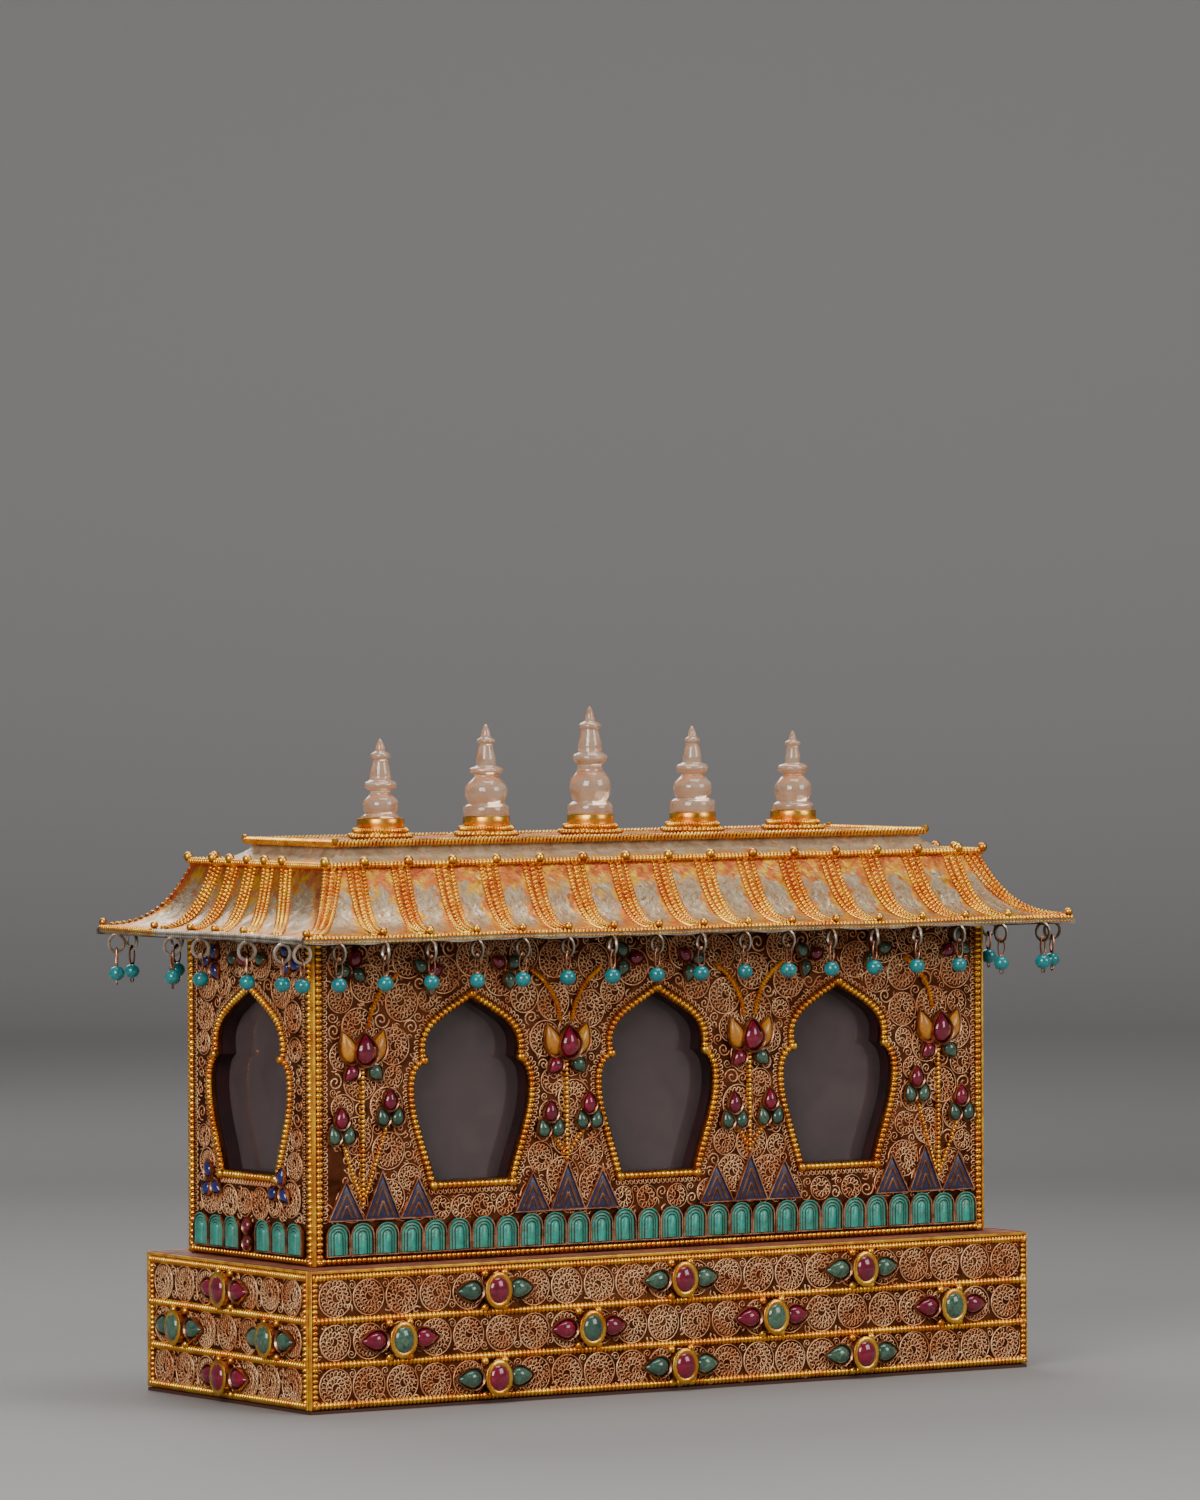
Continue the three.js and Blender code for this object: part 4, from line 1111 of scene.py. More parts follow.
@dataclass
class Plinth(Clad):
    """The clad plinth: filigree bands parted by beaded wires, with gem sets standing on them."""

    shapes: Shapes
    scrolls: Scrollwork
    bands: int = 3
    foot: float = 1.5
    top_strip: float = 2.2
    top_edge: float = 1.1
    corner_strip: float = 0.4
    wire: float = 3.2
    wire_pitch: float = 1.7
    top_wire: float = 2.9
    top_pitch: float = 1.5
    corner_bead: float = 2.7
    gem_pitch: float = 82
    side_gem_pitch: float = 66
    medallion: float = 6.9

    def __post_init__(self) -> None:
        """Reads the plinth's own sizes from the frame."""
        low, high = node_box("plinth_box")
        self.half_length, self.half_depth, self.top = high.x, high.y, high.z
        self.band = (self.top - self.top_strip - self.foot) / self.bands

    def build(self) -> None:
        """Makes all four sides and paints the block."""
        for wall in Wall:
            self.ground(wall)
            self.filigree(wall)
            self.beading(wall)
            self.gems(wall)
        paint_node("plinth_box", Finish.PLINTH_PAINT)

    def levels(self) -> list[float]:
        """Middle heights of the bands, from the foot up."""
        return [self.foot + (band + 0.5) * self.band for band in range(self.bands)]

    def ground(self, wall: Wall) -> None:
        """The sheet under the filigree, with gilt strips at its ends and top."""
        half, out = self.reach(wall)
        plate = slab(-half, half, self.foot, self.top, out - SKIN, out)
        edge = slab(-half, half, self.top - self.top_edge, self.top, out - 0.2, out + 0.6).finished(1)
        form = Form.merged([plate.finished(0), *self.strips(wall, self.corner_strip), edge])
        make_piece(f"plinth_ground_{wall.label}", form, [Finish.GROUND, Finish.LEAF_GOLD], wall,
                   [f"plinth_panel_{wall.label}"])

    def filigree(self, wall: Wall) -> None:
        """Medallions side by side in each band, and scrolls in the corners between them."""
        half, out = self.reach(wall)
        end = half - self.corner_strip - self.corner_bead
        clear = (self.band - self.wire) / 2
        discs = []
        for band, level in enumerate(self.levels()):
            count = max(1, int(end / self.medallion))
            pitch = 2 * end / count
            dice = random.Random(31 * band + wall.seed)
            bare = Ground((-end, level - clear), (end, level + clear), 60 + band)
            for i in range(count):
                disc = (-end + (i + 0.5) * pitch, level, self.medallion * dice.uniform(0.94, 1.0))
                bare.take(*disc)
                discs.append(disc)
            discs += bare.filled(1.9, 1.7 if wall.plain else 0.8)
        form = self.scrolls.laid(discs, out, wall.plain, 5 + wall.seed)
        make_piece(f"plinth_filigree_{wall.label}", form, [Finish.FILIGREE], wall, smooth=180)

    def beading(self, wall: Wall) -> None:
        """Beaded wires between the bands, along foot and top, and up the corners."""
        half, out = self.reach(wall)
        end = half - self.corner_strip
        strand = Strand(self.shapes.low_dome, self.wire, self.wire_pitch)
        levels = [self.foot + self.wire / 2] + [self.foot + band * self.band for band in range(1, self.bands)]
        rows = [strand.across_wall([(-end, z), (end, z)], out) for z in levels]
        top = self.top - self.top_edge - self.top_wire / 2
        edging = Strand(self.shapes.low_dome, self.top_wire, self.top_pitch)
        rows.append(edging.across_wall([(-end, top), (end, top)], out))
        column = Strand(self.shapes.low_dome, self.corner_bead, 1.9)
        rows += column.uprights(end - self.corner_bead / 2, self.foot, self.top - self.top_strip, out)
        make_piece(f"plinth_beading_{wall.label}", Form.merged(rows), [Finish.GOLD], wall)

    def gems(self, wall: Wall) -> None:
        """Gem sets: an oval in a tall collar between two drops, ruby and green by turns."""
        _, out = self.reach(wall)
        sets = []
        for band, level in enumerate(self.levels()):
            odd = band % 2
            if wall.plain and not odd:
                continue
            count, pitch = (3 + odd, self.gem_pitch) if wall.long else (1 + odd, self.side_gem_pitch)
            middle, sides = (3, 2) if odd else (2, 3)
            if not wall.long:
                sides = middle
            places = [(i - (count - 1) / 2) * pitch for i in range(count)]
            sets += [self.gem_set(x, level, out, middle, sides) for x in places]
        finishes = [Finish.COPPER, Finish.GOLD, Finish.RUBY, Finish.GREEN]
        make_piece(f"plinth_gems_{wall.label}", Form.merged(sets), finishes, wall)

    def gem_set(self, x: float, z: float, out: float, middle: int, sides: int) -> Form:
        """One set.

        Args:
            x, z, out: its middle along the wall, its height, and the wall's distance out.
            middle, sides: finish numbers of the oval stone and of the two drops.

        Returns:
            The set's stones, bezels and balls.
        """
        shapes, stones = self.shapes, Stonework(self.shapes)
        parts = [
            self.collar().moved(on_wall(x, z, out)).finished(0),
            shapes.link.moved(on_wall(x, z, out + 4.5, 0, (4.9, 5.7, 2.4))).finished(1),
            shapes.cabochon.moved(on_wall(x, z, out + 4.2, 0, (4.3, 5.1, 2.2))).finished(middle),
        ]
        parts[-1].tone[:] = random.Random(round(x + z)).random()
        for way, turn in ((-1, math.pi), (1, 0)):
            parts.append(stones.bezelled(x + way * 11.2, z, out + 0.3, (12.0, 8.8), turn, sides, 2.8))
            places = [on_wall(x + way * 4.3, z + side * 6.2, out + 1.2, 0, 1.6) for side in (-1, 1)]
            parts.append(shapes.ball.copies(places).finished(1))
        return Form.merged(parts)

    def collar(self) -> Form:
        """The oval collar round a set's middle stone, modelled lying flat."""
        bench = Bench()
        bpy.ops.mesh.primitive_cylinder_add(vertices=24, radius=1, depth=4.7, location=(0, 0, 2.25))
        bench.edit("FACE")
        bench.pick("faces", lambda at: at.z > 4.5)
        bench.inset((0.1, 0), (0.04, -0.7))
        bpy.ops.mesh.select_all(action="SELECT")
        bpy.ops.transform.resize(value=(5.25, 6.0, 1))
        return bench.form()


def slab(x0: float, x1: float, z0: float, z1: float, near: float, far: float) -> Form:
    """A bevelled plate on the front wall.

    Args:
        x0, x1: its ends.
        z0, z1: its foot and its top.
        near, far: distance out of its back and of its face.

    Returns:
        The plate.
    """
    bench = Bench()
    bpy.ops.mesh.primitive_cube_add(
        size=1, location=((x0 + x1) / 2, -(near + far) / 2, (z0 + z1) / 2),
        scale=(x1 - x0, far - near, z1 - z0))
    bench.edit("EDGE")
    bpy.ops.mesh.bevel(offset=min(0.25, (far - near) / 4, (z1 - z0) / 4), segments=2)
    form = bench.form()
    form.crest[:] = 1
    return form


def paint_node(name: str, finish: Finish) -> None:
    """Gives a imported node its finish."""
    node = frame["nodes"][name]
    node.data.materials.clear()
    node.data.materials.append(finish.material())
    LOG.info("%s: dressed in %s", name, finish.name.lower())


@dataclass
class Body(Clad):
    """The windowed body: filigree walls, beaded window frames, tiles and lotus sprays."""

    shapes: Shapes
    scrolls: Scrollwork
    corner_strip: float = 0.9
    side_strip: float = 0.2
    side_column_shift: float = 1.2
    corner_bead: float = 3.1
    foot_bead: float = 2.6
    window_wire: float = 3.0
    window_rise: float = 1.9
    board: float = 5.4
    bare_patch: Pair = (-142.2, 86)
    window_pitch: float = 82
    tile_foot: float = 3.2
    tile_height: float = 12.6
    tile_thickness: float = 1.6
    front_tiles: int = 28
    side_tiles: int = 7
    front_window: WindowShape = WindowShape(17.2, 27.7, 26.3, 21, 73.7, 97.7)
    side_window: WindowShape = WindowShape(19.9, 30.7, 29.2, 24, 74.7, 100.7)

    def __post_init__(self) -> None:
        """Reads the body's own sizes from the frame."""
        low, high = node_box("wall_panel_front")
        self.half_length, self.foot, self.top = high.x, low.z, high.z
        self.half_depth = node_box("wall_panel_right")[1].y + SKIN + GAP

    def strip(self, wall: Wall) -> float:
        """Width of a side's gilt corner strips."""
        return self.corner_strip if wall.long else self.side_strip

    def windows(self, wall: Wall) -> tuple[WindowShape, list[float]]:
        """The shape of a side's windows and their middles."""
        if wall.long:
            return self.front_window, [-self.window_pitch, 0, self.window_pitch]
        return self.side_window, [0]

    def build(self) -> None:
        """Makes all four sides and dresses the boards and panes."""
        for wall in Wall:
            self.ground(wall)
            self.filigree(wall)
            self.beading(wall)
            self.tiles(wall)
            self.boards(wall)
        for name in frame["nodes"]:
            if name.startswith("pane_"):
                paint_node(name, Finish.GLASS)
        Sprays(self).build()
        WallStones(self).build()

    def ground(self, wall: Wall) -> None:
        """The sheet under the filigree with its window openings and gilt corner strips."""
        half, out = self.reach(wall)
        shape, centres = self.windows(wall)
        plate = slab(-half, half, self.foot, self.top, out - SKIN, out)
        plate = self.pierced(plate, [shape.outline(centre, self.foot, 1.4) for centre in centres], out)
        form = Form.merged([plate.finished(0), *self.strips(wall, self.strip(wall))])
        form.crest[:] = 1
        make_piece(f"wall_ground_{wall.label}", form, [Finish.GROUND, Finish.LEAF_GOLD], wall,
                   [f"wall_panel_{wall.label}"])

    def boards(self, wall: Wall) -> None:
        """The painted board behind the sheet, whose openings show as the windows' reveals."""
        _, out = self.reach(wall)
        shape, centres = self.windows(wall)
        low, high = node_box(f"wall_{wall.label}")
        half = high.x if wall.long else high.y
        face = out - SKIN - GAP
        plate = slab(-half, half, low.z, high.z, face - self.board, face)
        plate = self.pierced(plate, [shape.outline(centre, self.foot, 1.4) for centre in centres], face)
        plate.crest[:] = 1
        make_piece(f"board_{wall.label}", plate, [Finish.BOARD_PAINT], wall, [f"wall_{wall.label}"])

    def pierced(self, plate: Form, outlines: Sequence[np.ndarray], out: float) -> Form:
        """A plate with openings cut through it.

        Args:
            plate: the plate.
            outlines: closed outlines of the openings, as x and height pairs.
            out: the distance out of the plate's face.

        Returns:
            The pierced plate.
        """
        ends = np.cumsum(plate.sizes)
        faces = [plate.corners[end - size:end].tolist() for size, end in zip(plate.sizes, ends)]
        body = loose_object("plate", plate.points.tolist(), faces)
        for outline in outlines:
            cutter = self.cutter(outline, out)
            apply_modifier(body, "BOOLEAN", object=cutter, operation="DIFFERENCE", solver="EXACT")
            bpy.data.objects.remove(cutter)
        return Form.taken(body)

    def cutter(self, outline: np.ndarray, out: float) -> bpy.types.Object:
        """A prism of a window's outline that runs through the skin."""
        count = len(outline)
        points = [(x, -(out + way), z) for way in (3, -8) for x, z in outline]
        faces = [tuple(range(count)), tuple(reversed(range(count, 2 * count)))]
        faces += [(i, i + count, (i + 1) % count + count, (i + 1) % count) for i in range(count)]
        piece = loose_object("cutter", points, faces)
        bench = Bench()
        select_only(piece)
        bench.edit()
        bench.turn_outwards()
        deselect()
        return piece

    def filigree(self, wall: Wall) -> None:
        """Medallions and scrolls packed round the windows."""
        half, out = self.reach(wall)
        shape, centres = self.windows(wall)
        end = half - self.strip(wall) - self.corner_bead
        field_foot = self.foot + self.tile_foot + self.tile_height - 1
        fringe = 0 if wall.plain else self.scrolls.HOOK
        bare = Ground((-end + fringe, field_foot), (end - fringe, self.top), 3 + wall.seed)
        parts = []
        for centre in centres:
            bare.keep_clear(shape.outline(centre, self.foot), self.window_wire / 2 + fringe)
            if fringe:
                edge = shape.outline(centre, self.foot, -self.window_wire / 2)
                parts.append(self.scrolls.fringe([*edge, edge[0]], out))
        if fringe:
            for way in (-1, 1):
                ends = [(way * end, level) for level in (field_foot, self.top)]
                parts.append(self.scrolls.fringe(ends[::-way], out))
        if wall is Wall.FRONT:
            turns = np.linspace(0, 2 * math.pi, 12, endpoint=False)
            worn = np.array([(4.2 * math.cos(a), 9.5 * math.sin(a)) for a in turns]) + self.bare_patch
            bare.keep_clear(worn, 0)
        discs = bare.filled(8.5 if wall.plain else 6.9, 2.2 if wall.plain else 0.85)
        parts.append(self.scrolls.laid(discs, out, wall.plain, 17 + wall.seed))
        make_piece(f"wall_filigree_{wall.label}", Form.merged(parts), [Finish.FILIGREE], wall, smooth=180)

    def beading(self, wall: Wall) -> None:
        """Window frames, corner columns and the row along the foot."""
        half, out = self.reach(wall)
        shape, centres = self.windows(wall)
        end = half - self.strip(wall)
        bead = self.shapes.low_dome if wall.plain else self.shapes.dome
        frame_wire = Strand(bead, self.window_wire, 2.0, self.window_rise)
        column = Strand(bead, self.corner_bead, 2.25, 1.5)
        row = Strand(self.shapes.low_dome, self.foot_bead, 2.15, 1.3)
        parts = []
        for centre in centres:
            outline = shape.outline(centre, self.foot)
            parts.append(frame_wire.across_wall([*outline, outline[0]], out))
            balls = [on_wall(x, z, out + 1.0, 0, 1.9) for x, z in shape.knots(centre, self.foot)]
            parts.append(self.shapes.ball.copies(balls))
        x = end - self.corner_bead / 2 + (0 if wall.long else self.side_column_shift)
        parts += column.uprights(x, self.foot, self.top, out)
        level = self.foot + self.tile_foot - self.foot_bead / 2 - 0.2
        parts.append(row.across_wall([(-end, level), (end, level)], out))
        make_piece(f"wall_beading_{wall.label}", Form.merged(parts), [Finish.GOLD], wall)

    def tiles(self, wall: Wall) -> None:
        """The row of arched tiles; on the short sides a pair of rubies takes the middle one's place."""
        half, out = self.reach(wall)
        count = self.front_tiles if wall.long else self.side_tiles
        pitch = 2 * (half - self.strip(wall) - self.corner_bead - GAP) / count
        foot = self.foot + self.tile_foot
        dice = random.Random(40 + wall.seed)
        places, tones = [], []
        for i in range(count):
            if not wall.long and i == count // 2:
                continue
            x = (i - (count - 1) / 2) * pitch
            size = (pitch / 10, self.tile_height / 13 * dice.uniform(0.95, 1.0), 1)
            places.append(on_wall(x, foot, out + GAP, dice.uniform(-0.02, 0.02), size))
            tones.append(dice.random() ** 2 if not wall.plain else 0)
        form = self.tile().copies(places)
        size = len(form.points) // len(places)
        low = 1 - np.clip((form.points[:, 2] - foot) / 4, 0, 1)
        form.tone = low * np.repeat(np.array(tones), size)
        parts = [form]
        if not wall.long:
            parts += [Stonework(self.shapes).bezelled(0, z, out + GAP, (6.6, 5.6), math.pi / 2, 2)
                      for z in (foot + 3.3, foot + 9.6)]
        finishes = [Finish.COPPER, Finish.TILE, Finish.RUBY]
        make_piece(f"tiles_{wall.label}", Form.merged(parts), finishes, wall, [f"tile_row_{wall.label}"])

    def tile(self) -> Form:
        """One arched tile 10 wide and 13 high in a thin bezel, with arched grooves."""
        thickness, foot, inner_half = self.tile_thickness, 0.7, 4.35
        bench = Bench()
        bpy.ops.mesh.primitive_circle_add(vertices=16, radius=4.85, fill_type="NGON", location=(0, 8.1, 0))
        bench.edit("VERT")
        bench.pick("verts", lambda at: at.y < 8 and abs(at.x) < 4.2)
        bpy.ops.mesh.dissolve_verts()
        bench.pick("verts", lambda at: at.y < 8)
        bpy.ops.transform.resize(value=(1.083, 0, 1), center_override=(0, 0.1, 0))
        bpy.ops.mesh.select_all(action="SELECT")
        bpy.ops.mesh.select_mode(type="FACE")
        bench.raised(thickness)
        bench.inset((0.45, 0), (0.1, -0.8), (0.45, 0.6), (0.6, 0.15), (0.36, -0.5), (0.36, 0.5), (0.4, 0.1),
                    (0.34, -0.55), (0.34, 0.75), (0.45, 0.3))
        bench.turn_outwards()
        form = bench.form()
        low = (form.points[:, 1] > foot) & (form.points[:, 1] < 5)
        form.points[low, 1] = foot + (form.points[low, 1] - foot) * 0.05
        mark_stone(form, lambda x, y, z: (
            np.abs(x).max() < inner_half and y.min() > 0.6 and z.min() > thickness / 3))
        # Low faces take colour by height: the copper bezel's get the painted hollow shade, the turquoise's
        # the brown of its grooves.
        form.crest = np.clip((form.points[:, 2] - thickness * 0.62) / (thickness * 0.35), 0, 1)
        return form


def mark_stone(form: Form, test: Callable[[np.ndarray, np.ndarray, np.ndarray], bool]) -> None:
    """Gives finish 1 to the faces whose corners' x, y and z pass a test, and leaves the bezel 0."""
    ends = np.cumsum(form.sizes)
    for face, (start, end) in enumerate(zip(ends - form.sizes, ends)):
        form.finishes[face] = test(*form.points[form.corners[start:end]].T)


@dataclass
class Sprays:
    """Lotus sprays between the windows, each on three peaks; at the back the peaks alone."""

    body: Body
    thickness: float = 1.7
    peak_width: float = 15.8
    peak_overlap: float = 0.4
    peak_height: float = 18.5
    small_peak_height: float = 15.2
    outer_shifts: Pair = (8.0, 6.5)
    stem: float = 2.6
    twig: Pair = (1.9, 1.5)
    tendril_wire: Pair = (2.2, 1.2)
    lotus_height: float = 38.0
    trefoils: Sequence[tuple[Pair, Pair]] = (
        ((9.4, 0.6), (11.4, 6.7)), ((7.4, 0), (9.6, 2.6)), ((7.2, 0.1), (9.0, 0.9)),
        ((10.4, 7.0), (10.4, -0.7)))
    tendril: Sequence[Pair] = ((2.4, 13.4), (3.6, 19), (6.2, 24.6), (10.2, 29.4), (15.6, 33.4))
    inner: float = 41
    outer: float = 121.6
    def __post_init__(self) -> None:
        """Works out where the peaks stand."""
        body = self.body
        self.shapes = body.shapes
        self.stones = Stonework(self.shapes)
        self.face = body.half_depth + GAP
        self.foot = body.foot + body.tile_foot + body.tile_height + GAP
        self.tip = self.foot + self.peak_height
        self.crown = self.tip + self.lotus_height

    def build(self) -> None:
        """Makes the four sprays of the front and the four sets of peaks of the back."""
        finishes = [Finish.COPPER, Finish.CARVED_LAPIS, Finish.GOLD, Finish.RUBY, Finish.GREEN, Finish.AMBER]
        left, right = self.outer_shifts
        for i, centre in enumerate((-self.outer, -self.inner, self.inner, self.outer), 1):
            peaks = self.peaks(centre)
            make_piece(f"peaks_back_dressed_{i}", peaks, finishes, Wall.BACK, [f"peaks_back_{i}"], smooth=30)
            shift = {-self.outer: -left, self.outer: right}.get(centre, 0)
            spray = Form.merged([peaks, self.flower(centre, centre + shift, i)])
            make_piece(f"lotus_spray_{i}", spray, finishes, Wall.FRONT, [f"lotus_spray_front_{i}"], smooth=40)

    def peaks(self, centre: float) -> Form:
        """Three peaks side by side, the middle one tallest."""
        parts = []
        for place in (-1, 0, 1):
            size = (1, self.small_peak_height / self.peak_height if place else 1, 1)
            x = centre + place * (self.peak_width - self.peak_overlap)
            out = self.face - place * place * 0.1
            parts.append(self.peak(place).moved(on_wall(x, self.foot, out, 0, size)))
        return Form.merged(parts)

    def peak(self, seed: int) -> Form:
        """One peak standing on its foot: a bevelled stone in a thin bezel, with copper chevrons let in."""
        half, height, thickness = self.peak_width / 2, self.peak_height, self.thickness
        bench = Bench()
        bpy.ops.mesh.primitive_circle_add(vertices=3, radius=1, fill_type="NGON")
        bench.edit("FACE")
        corners = sorted(bmesh.from_edit_mesh(bench.piece.data).verts, key=lambda v: (v.co.y, v.co.x))
        for vertex, place in zip(corners, ((-half, 0, 0), (half, 0, 0), (0, height, 0))):
            vertex.co = place
        bench.raised(thickness)
        bench.inset((0.45, 0), (0.1, -0.6), (1.0, 0.45))
        bench.turn_outwards()
        stone = bench.form()
        foot = stone.points[:, 1].min() + 0.5
        mark_stone(stone, lambda x, y, z: y.min() > foot and z.min() > thickness / 3 and not (
            np.ptp(z) < 0.01 and z[0] > thickness - 0.01))
        stone.crest[:] = 1
        slope = math.atan2(height, half)
        parts = [stone]
        for drop in (6.2, 11.6):
            top = height - drop
            run = top - 1.4
            for way, turn in ((-1, slope), (1, math.pi - slope)):
                size = (run / math.sin(slope) / 2, 0.55, 0.3)
                place = upright(way * run / 2 / math.tan(slope), top - run / 2, thickness - 0.2, size, turn)
                parts.append(self.shapes.bar.moved(place).finished(0))
                # The let-in bars lie low in the stone and take a share of the copper's painted hollow shade
                # all over.
                parts[-1].crest[:] = 0.22
        form = Form.merged(parts)
        form.tone[:] = random.Random(seed).random()
        return form

    def flower(self, centre: float, stem: float, number: int) -> Form:
        """The stem with its trefoils, leaves, lotus and tendrils.

        Args:
            centre: place of the peaks' middle along the wall.
            stem: place of the stem.
            number: which spray it is, from the left.

        Returns:
            All that stands above the peaks.
        """
        face, tip, crown = self.face + 0.3, self.tip, self.crown
        twig = Strand(self.shapes.low_dome, *self.twig)
        stalk = Strand(self.shapes.dome, self.stem, 1.75)
        arc = Strand(self.shapes.low_dome, *self.tendril_wire)
        low, foot = (tip, tip + 2.5)
        if stem != centre:
            low = self.foot + self.small_peak_height / 3
            foot = low + 3
        set_stone = self.stones.bezelled
        parts = [stalk.across_wall([(stem, low), (stem, crown)], face).finished(2)]
        for way, turn, leaf in ((-1, 1.25 * math.pi, 3), (1, -0.25 * math.pi, 4)):
            reach, lift = self.trefoils[number - 1][way > 0]
            level = tip + 14.2 + lift
            path = [(stem + way, foot), (stem + way * reach * 0.55, (foot + level) / 2 - 1),
                    (stem + way * (reach - 0.8), level - 4.4)]
            parts.append(twig.across_wall(path, face).finished(2))
            parts.append(self.stones.trefoil(stem + way * reach, level, face, 3, 4))
            parts.append(set_stone(stem + way * 5.4, crown - 2.8, face, (8.2, 6.8), turn, leaf))
            lean = math.pi / 2 - way * 0.36
            parts.append(set_stone(stem + way * 6.6, crown + 6.9, face, (13.8, 8.2), lean, 5))
            if stem == centre or way * centre < 0:
                points = [(stem + way * x, crown + z) for x, z in self.tendril]
                parts.append(arc.across_wall(points, face + 0.5).finished(2))
        parts.append(set_stone(stem, crown + 6.1, face, (13.2, 10.4), math.pi / 2, 3, 4.6))
        return Form.merged(parts)


@dataclass
class WallStones:
    """Loose clusters of stones on the filigree, in the order the walls show them."""

    body: Body
    front: Sequence[tuple[float, float, str]] = (
        (-132.4, 164.4, "R"), (-138.1, 159.2, "G"), (-130.9, 157.7, "G"),
        (-104.9, 160.8, "G"), (-97.9, 159.1, "R"), (-100.4, 152.6, "G"),
        (-71.2, 161.4, "R"), (-63.4, 161.2, "G"), (-66.1, 154.0, "G"),
        (-16.5, 164.8, "G"), (-9.7, 161.1, "R"), (-16.1, 157.3, "G"),
        (11.4, 162.0, "R"), (13.6, 154.6, "G"), (18.4, 160.4, "G"),
        (64.8, 162.4, "G"), (71.9, 160.9, "R"), (66.5, 154.8, "G"),
        (96.1, 157.5, "G"), (103.5, 161.9, "G"), (97.4, 164.8, "R"),
        (132.3, 160.2, "R"), (140.3, 160.5, "G"), (136.3, 167.0, "G"),
    )
    side: Sequence[tuple[float, float, str]] = (
        (-22.8, 165.1, "L"), (-29.5, 161.5, "L"), (-22.3, 157.5, "L"),
        (-10.1, 162.7, "G"), (-2.9, 162.6, "R"), (10.9, 163.1, "G"),
        (28.1, 167.4, "L"), (35.7, 161.8, "L"), (28.5, 160.2, "L"),
        (-28.0, 84.5, "L"), (-29.8, 76.6, "L"), (-22.0, 77.6, "L"),
        (24.9, 84.4, "L"), (18.2, 77.4, "L"), (27.0, 77.0, "L"),
    )
    size: Pair = (7.2, 5.8)

    def build(self) -> None:
        """Makes the stones of the front and of both short sides."""
        finishes = [Finish.COPPER, Finish.LAPIS, Finish.RUBY, Finish.GREEN]
        for wall, table in ((Wall.FRONT, self.front), (Wall.LEFT, self.side), (Wall.RIGHT, self.side)):
            make_piece(f"wall_stones_{wall.label}", self.clusters(wall, table), finishes, wall)

    def clusters(self, wall: Wall, table: Sequence[tuple[float, float, str]]) -> Form:
        """Drops in threes, each with its point away from the middle of its three."""
        stones = Stonework(self.body.shapes)
        _, out = self.body.reach(wall)
        parts = []
        for first in range(0, len(table), 3):
            three = table[first:first + 3]
            x0, z0 = (sum(drop[axis] for drop in three) / 3 for axis in (0, 1))
            parts += [stones.bezelled(x, z, out + 0.3, self.size, math.atan2(z - z0, x - x0),
                                      "LRG".index(kind) + 1) for x, z, kind in three]
        return Form.merged(parts)


